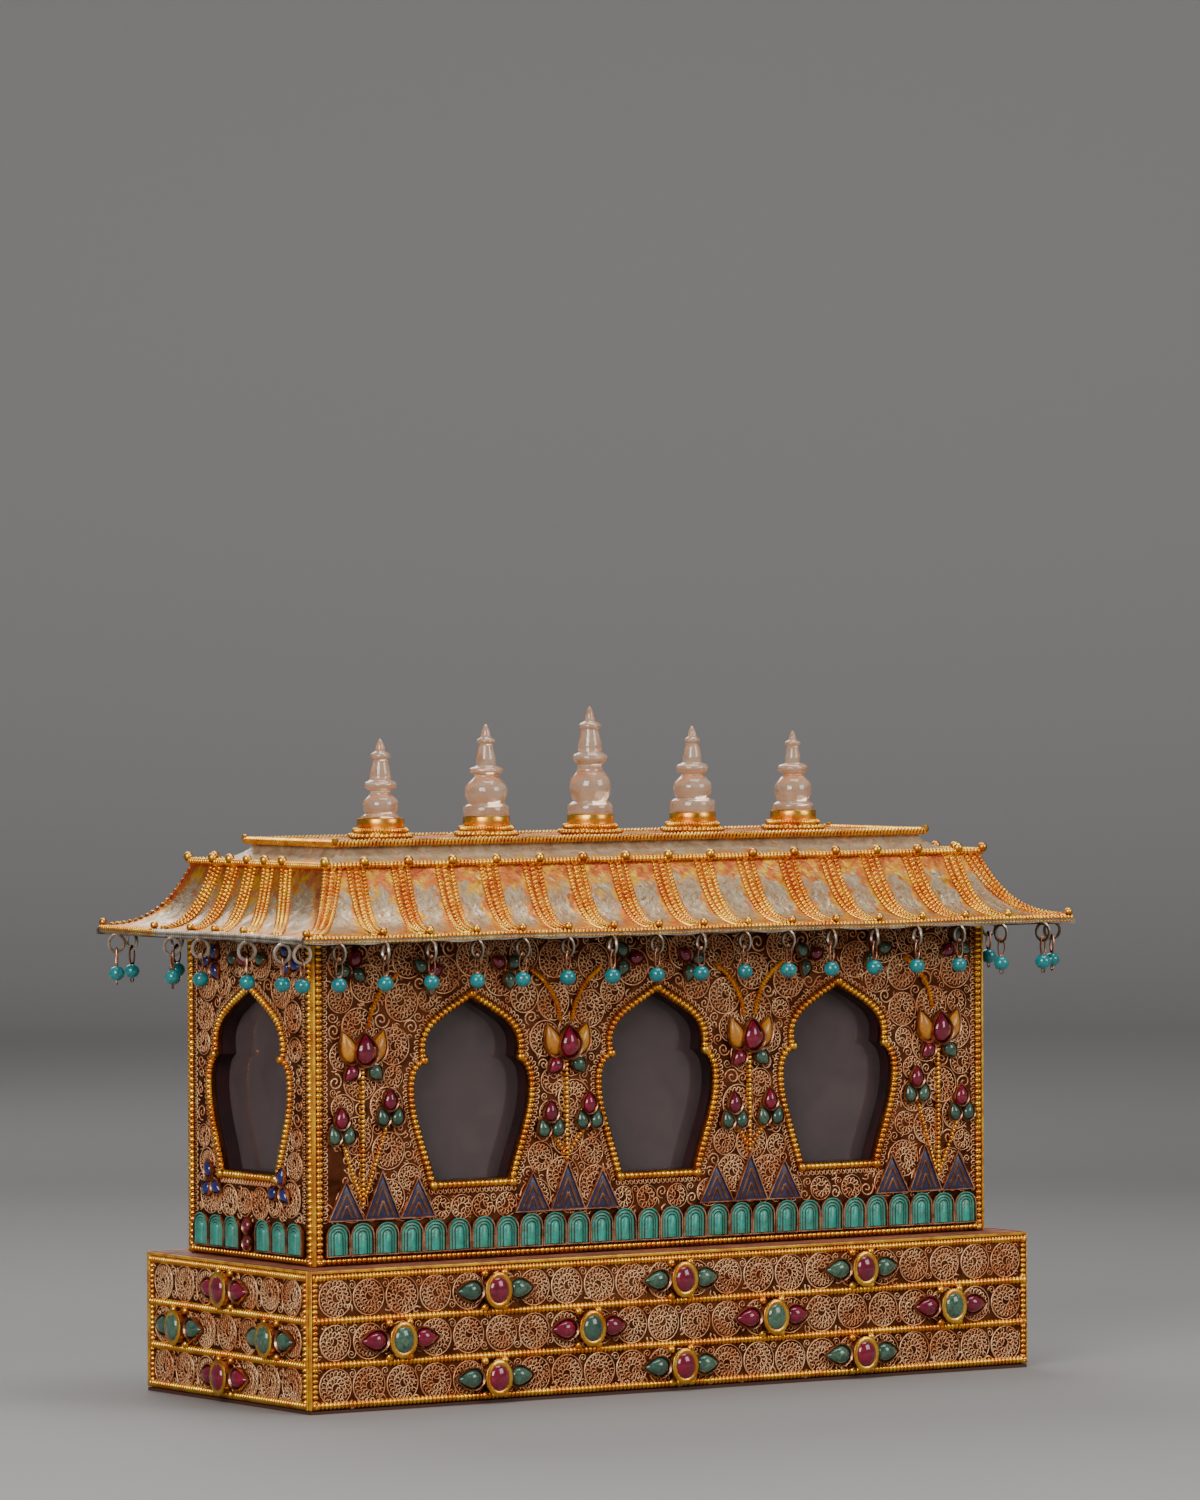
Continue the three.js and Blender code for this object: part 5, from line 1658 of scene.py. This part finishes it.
@dataclass
class Roof:
    """The swept roof: a washed silver sheet with beaded ribs, and the cap along its ridge."""

    SHARES = np.linspace(0, 1, 18)

    shapes: Shapes
    sheet: float = 1.6
    ridge_wire: float = 2.2
    ridge_rope: Pair = (2.7, 1.6)
    rib_core: float = 3.0
    rib_side: float = 2.3
    rib_width: Pair = (6.6, 8.6)
    front_ribs: int = 15
    front_ends: Pair = (139.3, 133.0)
    side_ribs: Sequence[Pair] = (
        (-30, -30), (-9.2, -17.4), (11.6, -4.8), (32.4, 7.8), (53.2, 20.4))
    cap_inset: Pair = (13.5, 15)
    cap_neck: float = 2
    cap_plate: float = 1.6
    cap_wire: float = 2.5
    cap_rope: Pair = (3.0, 1.55)
    rope_lift: float = 0.5

    def __post_init__(self) -> None:
        """Reads the roof's own sizes from the frame."""
        low, high = node_box("roof_shell")
        self.half = (high.x, high.y)
        self.brim_bottom, self.ridge_top = low.z, high.z
        self.brim_top = self.brim_bottom + self.sheet
        self.rise = self.ridge_top - self.brim_top
        cap_low, cap_high = node_box("roof_cap")
        self.cap_bottom, self.cap_top = cap_low.z, cap_high.z - self.cap_wire / 2 + self.cap_plate / 2
        self.ridge = (cap_high.x - self.cap_wire / 2 + self.cap_inset[0],
                      cap_high.y - self.cap_wire / 2 + self.cap_inset[1])

    def half_at(self, share: float, axis: int) -> float:
        """Half length (0) or half depth (1) of the sheet at a share of the way up."""
        return self.half[axis] + (self.ridge[axis] - self.half[axis]) * share

    def height_at(self, share: float) -> float:
        """Height of the sheet's upper face at a share of the way up."""
        return self.brim_top + self.rise * (0.12 * share + 0.88 * share**3)

    def build(self) -> None:
        """Makes the sheet, the beading of each side and the cap."""
        self.make_sheet()
        for wall in Wall:
            self.beading(wall)
        self.make_cap()
        paint_node("roof_soffit", Finish.SILVER)

    def rib_lines(self, wall: Wall) -> list[Pair]:
        """Places of a side's ribs at the eave and at the ridge."""
        if not wall.long:
            return list(self.side_ribs)
        eave, ridge = self.front_ends
        return list(zip(*(np.linspace(-end, end, self.front_ribs) for end in (eave, ridge))))

    def make_sheet(self) -> None:
        """The sheet, thickened inwards, with a value that says how near a rib or an edge is."""
        points = []
        for share in self.SHARES:
            halves = (self.half_at(share, 0), self.half_at(share, 1))
            for wall in (Wall.FRONT, Wall.RIGHT, Wall.BACK, Wall.LEFT):
                half, out, count = (*halves, 112) if wall.long else (*halves[::-1], 46)
                turn = Matrix.Rotation(math.radians(wall.value), 3, "Z")
                points += [turn @ Vector((x, -out, self.height_at(share)))
                           for x in np.linspace(-half, half, count + 1)[:-1]]
        size = len(points) // len(self.SHARES)
        faces = [(row + i, row + (i + 1) % size, row + size + (i + 1) % size, row + size + i)
                 for row in range(0, len(points) - size, size) for i in range(size)]
        piece = loose_object("sheet", points, faces)
        apply_modifier(piece, "SOLIDIFY", thickness=self.sheet, offset=-1)
        form = Form.taken(piece)
        wash = np.array([self.wash_at(*point) for point in form.points])
        sheet = make_piece("roof_sheet", form, [Finish.ROOF], stands_for=["roof_shell"], smooth=35)
        store(sheet.data, "wash", wash)

    def wash_at(self, x: float, y: float, z: float) -> float:
        """How thick the gold wash lies at a place, from 0 to 1."""
        levels = [self.height_at(share) for share in self.SHARES]
        share = float(np.interp(z, levels, self.SHARES))
        near_x, near_y = self.half_at(share, 0) - abs(x), self.half_at(share, 1) - abs(y)
        wall = Wall.FRONT if near_y < near_x else (Wall.RIGHT if x > 0 else Wall.LEFT)
        place = x if wall is Wall.FRONT else (y if x > 0 else -y)
        lines = [eave + (ridge - eave) * share for eave, ridge in self.rib_lines(wall)]
        gap = min(abs(place - line + 0.9) for line in lines)
        edge = min(gap, max(near_x, near_y), abs(z - self.ridge_top) * 0.6)
        foot = 1.0 if share < 0.2 else 0.55 * max(0, 1 - (share - 0.2) / 0.35)
        return max(1 - edge / 9.5, foot * 0.62)

    def face_path(self, eave: float, ridge: float, wall: Wall) -> tuple[np.ndarray, np.ndarray]:
        """A line up the sheet and its outward directions.

        Args:
            eave: its place along the eave.
            ridge: its place along the ridge.
            wall: the side that it is on.

        Returns:
            The points and the directions, as on the front.
        """
        axis = 1 if wall.long else 0
        points, outs = [], []
        for share in np.linspace(0.04, 1, 22):
            before, after = ((self.half_at(near, axis), self.height_at(near))
                             for near in (max(0, share - 0.01), min(1, share + 0.01)))
            rise = Vector((after[0] - before[0], after[1] - before[1])).normalized()
            points.append((eave + (ridge - eave) * share, -self.half_at(share, axis), self.height_at(share)))
            outs.append((0, -rise.y, -rise.x))
        return np.array(points), np.array(outs)

    def ridge_line(self, wall: Wall) -> Pair:
        """Distance out and height of a side's ridge wire."""
        points, outs = self.face_path(0, 0, wall)
        centre = points[-1] + outs[-1] * (GAP + self.ridge_wire / 2)
        return -centre[1], centre[2]

    def beading(self, wall: Wall) -> None:
        """A side's ribs, its ridge wire and the balls at the ribs' heads."""
        parts = [self.rib(eave, ridge, wall) for eave, ridge in self.rib_lines(wall)]
        heads = [ridge for _, ridge in self.rib_lines(wall)]
        out, level = self.ridge_line(wall)
        half = self.ridge[1] - GAP
        if wall.long:
            half = self.ridge[0] + self.ridge_wire
            corners = (self.half[0] - self.rib_width[0] / 2, self.ridge[0] - 3.2)
            parts += [self.rib(way * corners[0], way * corners[1], wall) for way in (-1, 1)]
            heads = [ridge + 2.6 for ridge in heads] + [-half + 1, half - 1]
        wire = Strand(self.shapes.disc, *self.ridge_rope)
        parts.append(wire.across_wall([(-half, level), (half, level)], out))
        parts.append(self.shapes.ball.copies([upright(x, -out - 0.7, level + 1.4, 1.9) for x in heads]))
        make_piece(f"roof_beading_{wall.label}", Form.merged(parts), [Finish.GOLD], wall,
                   [f"roof_ribs_{wall.label}"])

    def rib(self, eave: float, ridge: float, wall: Wall) -> Form:
        """A thick beaded strand between two thin ones, which draw together towards the eave."""
        points, outs = self.face_path(eave, ridge, wall)
        points = points + outs * 0.1
        parts = [Strand(self.shapes.low_dome, self.rib_core, 1.75).along(points, outs, 0.8, 1.0)]
        spread = np.linspace(*((width - self.rib_side) / 2 for width in self.rib_width), len(points))[:, None]
        thin = Strand(self.shapes.tiny_dome, self.rib_side, 2.4 if wall.plain else 1.45)
        parts += [thin.along(points + spread * np.array([[way, 0, 0]]), outs) for way in (-1, 1)]
        return Form.merged(parts)

    def make_cap(self) -> None:
        """The coved cap over the ridge with its rope-like frame."""
        foot = [side - self.ridge_wire / 2 - GAP for side in self.ridge]
        plate = [side - inset for side, inset in zip(self.ridge, self.cap_inset)]
        neck = [side - self.cap_neck for side in plate]
        rise = self.cap_top - self.cap_bottom
        rings = [(*foot, 0)]
        for share in np.linspace(0.1, 1, 8):
            inwards = math.sin(share * math.pi / 2)
            level = (rise - self.cap_plate) * (1 - math.cos(share * math.pi / 2)) ** 0.8
            rings.append((*(a + (b - a) * inwards for a, b in zip(foot, neck)), level))
        rings += [(*plate, rise - self.cap_plate + 0.05), (*plate, rise)]
        bench = Bench()
        bpy.ops.mesh.primitive_plane_add(size=2, location=(0, 0, self.cap_bottom))
        bench.edit("FACE")
        bpy.ops.transform.resize(value=(*foot, 1))
        form = risen(bench, rings)
        level = self.cap_top - self.cap_plate / 2 + self.rope_lift
        rope = Strand(self.shapes.disc, *self.cap_rope)
        corners = [(x * plate[0], y * plate[1]) for x, y in ((-1, -1), (1, -1), (1, 1), (-1, 1))]
        parts = [form.finished(0)]
        for (ax, ay), (bx, by) in zip(corners, corners[1:] + corners[:1]):
            path = np.array([(ax, ay, level), (bx, by, level)], float)
            side = np.cross(path[1] - path[0], (0, 0, 1.0))
            parts.append(rope.along(path, np.tile(side / np.linalg.norm(side), (2, 1))).finished(1))
        balls = [upright(ax, ay, level + 0.8, 1.5) for ax, ay in corners]
        merged = Form.merged([*parts, self.shapes.ball.copies(balls).finished(1)])
        cap = make_piece("cap", merged, [Finish.CAP, Finish.GOLD], stands_for=["roof_cap"], smooth=35)
        height = form.points[:, 2]
        near = np.minimum(height - self.cap_bottom, np.abs(self.cap_top - height))
        wash = np.zeros(len(merged.points))
        wash[:len(near)] = np.clip(0.85 - near / 3.6, 0, 1)
        store(cap.data, "wash", wash)


def risen(bench: Bench, rings: Sequence[Triple]) -> Form:
    """A closed body: the face on the bench, raised through rings of half length, half depth and height."""
    for (x0, y0, z0), (x1, y1, z1) in zip(rings, rings[1:]):
        bench.raised(z1 - z0)
        bpy.ops.transform.resize(value=(x1 / x0, y1 / y0, 1))
    bench.turn_outwards()
    form = bench.form()
    form.crest[:] = 1
    return form


@dataclass(frozen=True)
class Cut:
    """How one crystal is cut: height and radius of each part, from its foot up."""

    flange: Pair
    bulb: Pair
    neck: Pair
    plate: Pair
    body: Pair
    disc: Pair
    spire: Pair

    def profile(self) -> list[Pair]:
        """Radius and height pairs from the foot to the point."""
        parts = [
            (self.flange, ((0, 0.96), (0.25, 1), (0.8, 1), (1, 0.93))),
            (self.bulb, ((0.08, 0.84), (0.3, 0.97), (0.5, 1), (0.72, 0.94), (0.9, 0.74), (1, 0.6))),
            (self.neck, ((0.2, 1.02), (0.5, 0.97), (0.85, 1.04))),
            (self.plate, ((0.05, 0.86), (0.3, 0.99), (0.55, 1), (0.85, 0.93), (1, 0.72))),
            (self.body, ((0.06, 0.98), (0.25, 1), (0.5, 0.93), (0.75, 0.8), (0.95, 0.68))),
            (self.disc, ((0.05, 0.72), (0.3, 0.97), (0.55, 1), (0.8, 0.92), (1, 0.62))),
            (self.spire, ((0.08, 1), (0.35, 0.94), (0.62, 0.7), (0.85, 0.38), (1, 0.06))),
        ]
        points, level = [], 0.0
        for (height, radius), shares in parts:
            points += [(radius * r, level + height * z) for z, r in shares]
            level += height
        return points


@dataclass
class Crown:
    """Five turned crystals along the cap, each in a gilt collar."""

    shapes: Shapes
    sides: int = 40
    band: Pair = (8.9, 3.5)
    fine_ring: Pair = (10.7, 2.0)
    wide_ring: Pair = (12.4, 2.0)
    cuts: Sequence[Cut] = (
        Cut((1, 7.2), (7.4, 6.75), (2, 3.9), (3.3, 6.2), (7.6, 3.9), (3, 3.8), (5, 1.8)),
        Cut((3.7, 8.7), (10.4, 8.1), (1.5, 4.6), (2.6, 6.55), (8.3, 3.7), (2.6, 3.5), (5.2, 1.8)),
        Cut((3.7, 8.7), (12.7, 7.9), (2.7, 4.8), (3.7, 6.75), (8.7, 4.6), (2.9, 4.25), (5.9, 1.9)),
        Cut((4.4, 8.7), (9, 7.5), (1.3, 4.3), (3.5, 6.3), (7.6, 3.6), (2.4, 3), (4.3, 1.6)),
        Cut((2.4, 8), (10.2, 7.3), (1.3, 3.5), (3.5, 5.9), (6.8, 3), (2.2, 3.1), (3.9, 1.4)),
    )

    def build(self) -> None:
        """Makes the collars and the crystals."""
        for i, cut in enumerate(self.cuts, 1):
            low, high = node_box(f"finial_collar_{i}")
            x = (low.x + high.x) / 2
            collar = self.collar().moved(upright(x, 0, low.z))
            make_piece(f"collar_{i}", collar, [Finish.GOLD], stands_for=[f"finial_collar_{i}"])
            crystal = self.turned(cut.profile()).moved(upright(x, 0, node_box(f"finial_{i}")[0].z))
            make_piece(f"crystal_{i}", crystal, [Finish.CRYSTAL], stands_for=[f"finial_{i}"], smooth=60)

    def turned(self, profile: Sequence[Pair]) -> Form:
        """A closed turned body through radius and height pairs."""
        radius, level = profile[0]
        bench = Bench()
        bpy.ops.mesh.primitive_circle_add(
            vertices=self.sides, radius=radius, fill_type="NGON", location=(0, 0, level))
        bench.edit("FACE")
        return risen(bench, [(radius, radius, level) for radius, level in profile])

    def collar(self) -> Form:
        """A ring of large beads, a fine beaded ring and a smooth band, stepping in as they rise."""
        (wide, wide_rise), (fine, fine_rise), (band, band_rise) = self.wide_ring, self.fine_ring, self.band
        foot = wide_rise + fine_rise
        body = self.turned([
            (wide - 0.9, 0), (wide - 0.9, wide_rise * 0.8), (fine - 0.8, wide_rise),
            (fine - 0.8, wide_rise + fine_rise * 0.9), (band - 0.15, foot), (band, foot + 0.3),
            (band, foot + band_rise - 0.3), (band - 0.2, foot + band_rise),
        ])
        beads = []
        for radius, height, level, pitch in ((wide, wide_rise, 0, 2.0), (fine, fine_rise, wide_rise, 1.2)):
            count = round(2 * math.pi * radius / pitch)
            middle = radius - height / 2
            for turn in 2 * math.pi * np.arange(count) / count:
                at = (middle * math.cos(turn), middle * math.sin(turn), level + height / 2)
                beads.append(upright(*at, (height / 2, pitch * 0.52, height / 2), turn))
        return Form.merged([body, self.shapes.ball.copies(beads)])


@dataclass
class Eave:
    """The beaded eave wire with its lip, and the rings and beads that hang from it."""

    shapes: Shapes
    roof: Roof
    length: float = 342
    depth: float = 150
    lip: float = 0.6
    lip_painted_shade: float = 0.3
    wire: float = 2.4
    upper_wire: float = 2.0
    lower_wire: float = 1.2
    pitch: float = 1.6
    silvered_from: float = -0.45
    rail: float = 1.6
    count: int = 17
    margin: float = 14.2
    side_places: Sequence[float] = (-61.5, -20, 0.5, 34, 59, 73)
    ring: float = 3.25
    ring_wire: float = 1.1
    link_length: float = 5
    bead: float = 6.2
    ball_shares: Sequence[float] = (0.26, 0.44, 0.56, 0.70)

    def build(self) -> None:
        """Makes the eave of each side."""
        for wall in Wall:
            form = Form.merged([self.rim(wall), self.balls(wall), self.pendants(wall)])
            finishes = [Finish.GOLD, Finish.SILVER, Finish.COPPER, Finish.TURQUOISE]
            make_piece(f"eave_{wall.label}", form, finishes, wall, [f"pendants_{wall.label}"])

    def reach(self, wall: Wall) -> Pair:
        """Half the width of a side's eave, and its distance out."""
        if wall.long:
            return (self.length + self.rail) / 2, self.depth / 2
        return (self.depth - self.rail) / 2 - GAP, self.length / 2

    def rim(self, wall: Wall) -> Form:
        """The beaded wire on the thin lip."""
        half, out = self.reach(wall)
        level = self.roof.brim_top - 0.9
        path = np.array([(x, -out, level) for x in np.linspace(-half + 0.6, half - 0.6, 60)])
        path[:, 2] += 0.18 * np.sin(path[:, 0] / 17)
        lean = np.tile([0, -1.0, 0], (60, 1))
        wires = Form.merged([
            Strand(self.shapes.disc, width, self.pitch).along(path + [0, 0, lift], lean)
            for width, lift in ((self.upper_wire, 0.3), (self.lower_wire, -1.1))]).finished(0)
        if wall is Wall.LEFT:
            starts = np.cumsum(wires.sizes) - wires.sizes
            place = wires.points[wires.corners[starts], 0]
            wires.finishes = np.where(place > self.silvered_from * half, 1, 0)
        lip = self.ribbon(half, level - self.wire / 2 - self.lip, level, out)
        # Painted shade: the lip is mixed part way towards the silver's dark hollow colour.
        lip.crest[:] = self.lip_painted_shade
        return Form.merged([wires, lip.finished(1)])

    def ribbon(self, half: float, foot: float, top: float, out: float) -> Form:
        """A thin strip along the eave whose lower edge waves a little."""
        bench = Bench()
        bpy.ops.mesh.primitive_cube_add(
            size=1, location=(0, -out, (foot + top) / 2), scale=(2 * half, 0.8, top - foot))
        bench.edit("EDGE")
        bench.pick("edges", lambda way: abs(way.x) > abs(way.y) + abs(way.z))
        bpy.ops.mesh.subdivide(number_cuts=80)
        form = bench.form()
        x, _, z = form.points.T
        wave = 0.3 * np.sin(x / 7.3) + 0.25 * np.sin(x / 3.1 + 1)
        form.points[:, 2] += np.where(z < (foot + top) / 2, wave, 0)
        return form

    def balls(self, wall: Wall) -> Form:
        """Small balls standing on the eave at the feet of the ribs."""
        half, out = self.reach(wall)
        if wall.long:
            places = [eave + 2 for eave, _ in self.roof.rib_lines(wall)] + [-half + 2, half - 2]
        else:
            places = [(share * 2 - 1) * half for share in self.ball_shares]
        level = self.roof.brim_top + 1.4
        return self.shapes.ball.copies([upright(x, -out + 1.2, level, 1.6) for x in places]).finished(0)

    def pendants(self, wall: Wall) -> Form:
        """Silver rings, copper links and turquoise beads, each a little out of line."""
        _, out = self.reach(wall)
        end = self.length / 2 - self.margin
        places = np.linspace(-end, end, self.count) if wall.long else self.side_places
        dice = random.Random(70 + wall.seed)
        return Form.merged([self.pendant(float(x), out, dice) for x in places])

    def pendant(self, x: float, out: float, dice: random.Random) -> Form:
        """One ring, link and bead.

        Args:
            x: its place along the eave.
            out: the eave's distance out.
            dice: gives its small turns.

        Returns:
            The pendant.
        """
        lip_foot = self.roof.brim_bottom - 1.2 - 2 * GAP - self.lip
        centre = lip_foot + self.ring_wire / 2 - self.ring * math.cos(math.pi / 5)
        link_top, bead_top = centre - self.ring + self.ring_wire, centre - self.ring - self.link_length
        bead_centre = bead_top - self.bead / 2
        quarter = math.pi / 2

        def hung(form: Form, level: float, size: Scale, *turns: tuple[float, str]) -> Form:
            """The form at a height under the eave, turned in order by angles about axes."""
            place = Matrix.Translation((x, -out, level))
            for angle, axis in turns:
                place = place @ Matrix.Rotation(angle, 4, axis)
            return form.moved(place @ Matrix.Diagonal((*(np.ones(3) * size), 1)))

        ring = hung(self.shapes.link, centre, self.ring, (dice.uniform(-0.25, 0.25), "Z"), (quarter, "Y"))
        lean = (dice.uniform(-0.5, 0.5), "Z")
        link_size = (1.3, (link_top - bead_top) / 2 + 0.4, 2.2)
        link = hung(self.shapes.link, (link_top + bead_top) / 2 - 0.2, link_size, lean, (quarter, "X"))
        size = self.bead / 2 * dice.uniform(0.93, 1.0)
        bead = hung(self.shapes.round_ball, bead_centre, (size, size, size * 0.95), (dice.uniform(0, 6), "Z"))
        bead.tone[:] = dice.random()
        bead.crest[:] = 1
        tail = hung(self.shapes.link, bead_centre - size - 0.2, (0.8, 1.0, 1.6), lean, (quarter, "X"))
        return Form.merged([ring.finished(1), link.finished(2), bead.finished(3), tail.finished(2)])


@dataclass
class Studio:
    """Pale floor and grey backdrop painted as one light gradient on the paper, soft lights and the camera."""

    azimuth: float = -33.093
    elevation: float = 0.896
    roll: float = -0.278
    distance: float = 3.02796
    target: Triple = (0.004564, 0, 0.237922)
    lens: float = 192
    sweep_start: float = 2.6
    sweep_bend: float = 0.8

    def build(self) -> None:
        """Sets up the studio."""
        self.sweep()
        for name, place, size, power in (
            ("key", (-2.4, -1.6, 1.4), 1.5, 72), ("fill", (1.3, -2.3, 1.3), 1.3, 30),
            ("top", (0.3, -0.2, 2.3), 1.4, 32), ("behind", (0.25, 1.4, 1.25), 1.0, 14),
        ):
            self.light(name, place, size, power)
        world = bpy.data.worlds.new("room")
        world.use_nodes = True
        room = world.node_tree.nodes["Background"].inputs
        room["Color"].default_value = (0.5, 0.5, 0.51, 1)
        room["Strength"].default_value = 0.4
        bpy.context.scene.world = world
        self.camera()

    def sweep(self) -> None:
        """A floor that curves up into a backdrop behind the box, square to the camera, its colour a painted
        light gradient.
        """
        turn = Matrix.Rotation(math.radians(self.azimuth), 3, "Z")
        start, bend = self.sweep_start, self.sweep_bend
        line = [(-4, 0), (start, 0)]
        line += [(start + bend * math.sin(a), bend - bend * math.cos(a))
                 for a in np.linspace(0.1, math.pi / 2, 10)]
        line += [(start + bend, 5)]
        points = [turn @ Vector((x, y, z)) for y, z in line for x in (-4, 4)]
        faces = [(i, i + 1, i + 3, i + 2) for i in range(0, len(points) - 2, 2)]
        floor = loose_object("sweep", points, faces)
        shader = Shader("sweep_paper", Roughness=0.8)
        ahead = turn @ Vector((0, 1, 0))
        # Painted light: the paper is paler at the front, where the lights fall more, darker further back, and
        # paler again far back to make up for the lights' falloff.
        depth = shader.node("VectorMath", "Value", {0: shader.place, 1: ahead}, operation="DOT_PRODUCT")
        paper_with_painted_falloff = shader.mix(shader.share(depth, -0.45, 1.1), (149, 146, 144), (93, 92, 91))
        far = shader.share(depth, 1.0, start + bend)
        shader.link(shader.mix(far, paper_with_painted_falloff, (160, 158, 157)), "Base Color")
        floor.data.materials.append(shader.material)
        shade(floor, 60)

    def light(self, name: str, place: Triple, size: float, power: float) -> None:
        """A square soft light that looks at the box."""
        lamp = bpy.data.lights.new(name, "AREA")
        lamp.energy = power
        lamp.size = size
        stand = bpy.data.objects.new(name, lamp)
        stand.location = place
        stand.rotation_euler = (Vector((0, 0, 0.12)) - Vector(place)).to_track_quat("-Z", "Y").to_euler()
        bpy.context.scene.collection.objects.link(stand)

    def camera(self) -> None:
        """The camera at the photograph's angle."""
        data = bpy.data.cameras.new("camera")
        data.lens = self.lens
        data.sensor_width = 36
        eye = bpy.data.objects.new("camera", data)
        azimuth, elevation = math.radians(self.azimuth), math.radians(self.elevation)
        level = math.cos(elevation)
        back = Vector((math.sin(azimuth) * level, -math.cos(azimuth) * level, math.sin(elevation)))
        look = (-back).to_track_quat("-Z", "Y").to_matrix().to_4x4()
        roll = Matrix.Rotation(math.radians(self.roll), 4, "Z")
        eye.matrix_world = Matrix.Translation(Vector(self.target) + back * self.distance) @ look @ roll
        bpy.context.scene.collection.objects.link(eye)
        bpy.context.scene.camera = eye


def main() -> None:
    """Builds the box from the plinth up, then the studio round it."""
    logging.basicConfig(level=logging.INFO, format="%(message)s")
    shapes = Shapes()
    scrolls = Scrollwork()
    roof = Roof(shapes)
    plinth, body = Plinth(shapes, scrolls), Body(shapes, scrolls)
    for part in (plinth, body, roof, Crown(shapes), Eave(shapes, roof), Studio()):
        LOG.info("building %s", type(part).__name__)
        part.build()
    total = sum(len(o.data.loop_triangles) or sum(len(p.vertices) - 2 for p in o.data.polygons)
                for o in bpy.context.scene.objects if o.type == "MESH")
    LOG.info("triangles in all: %d", total)


if __name__ == "__main__":
    main()
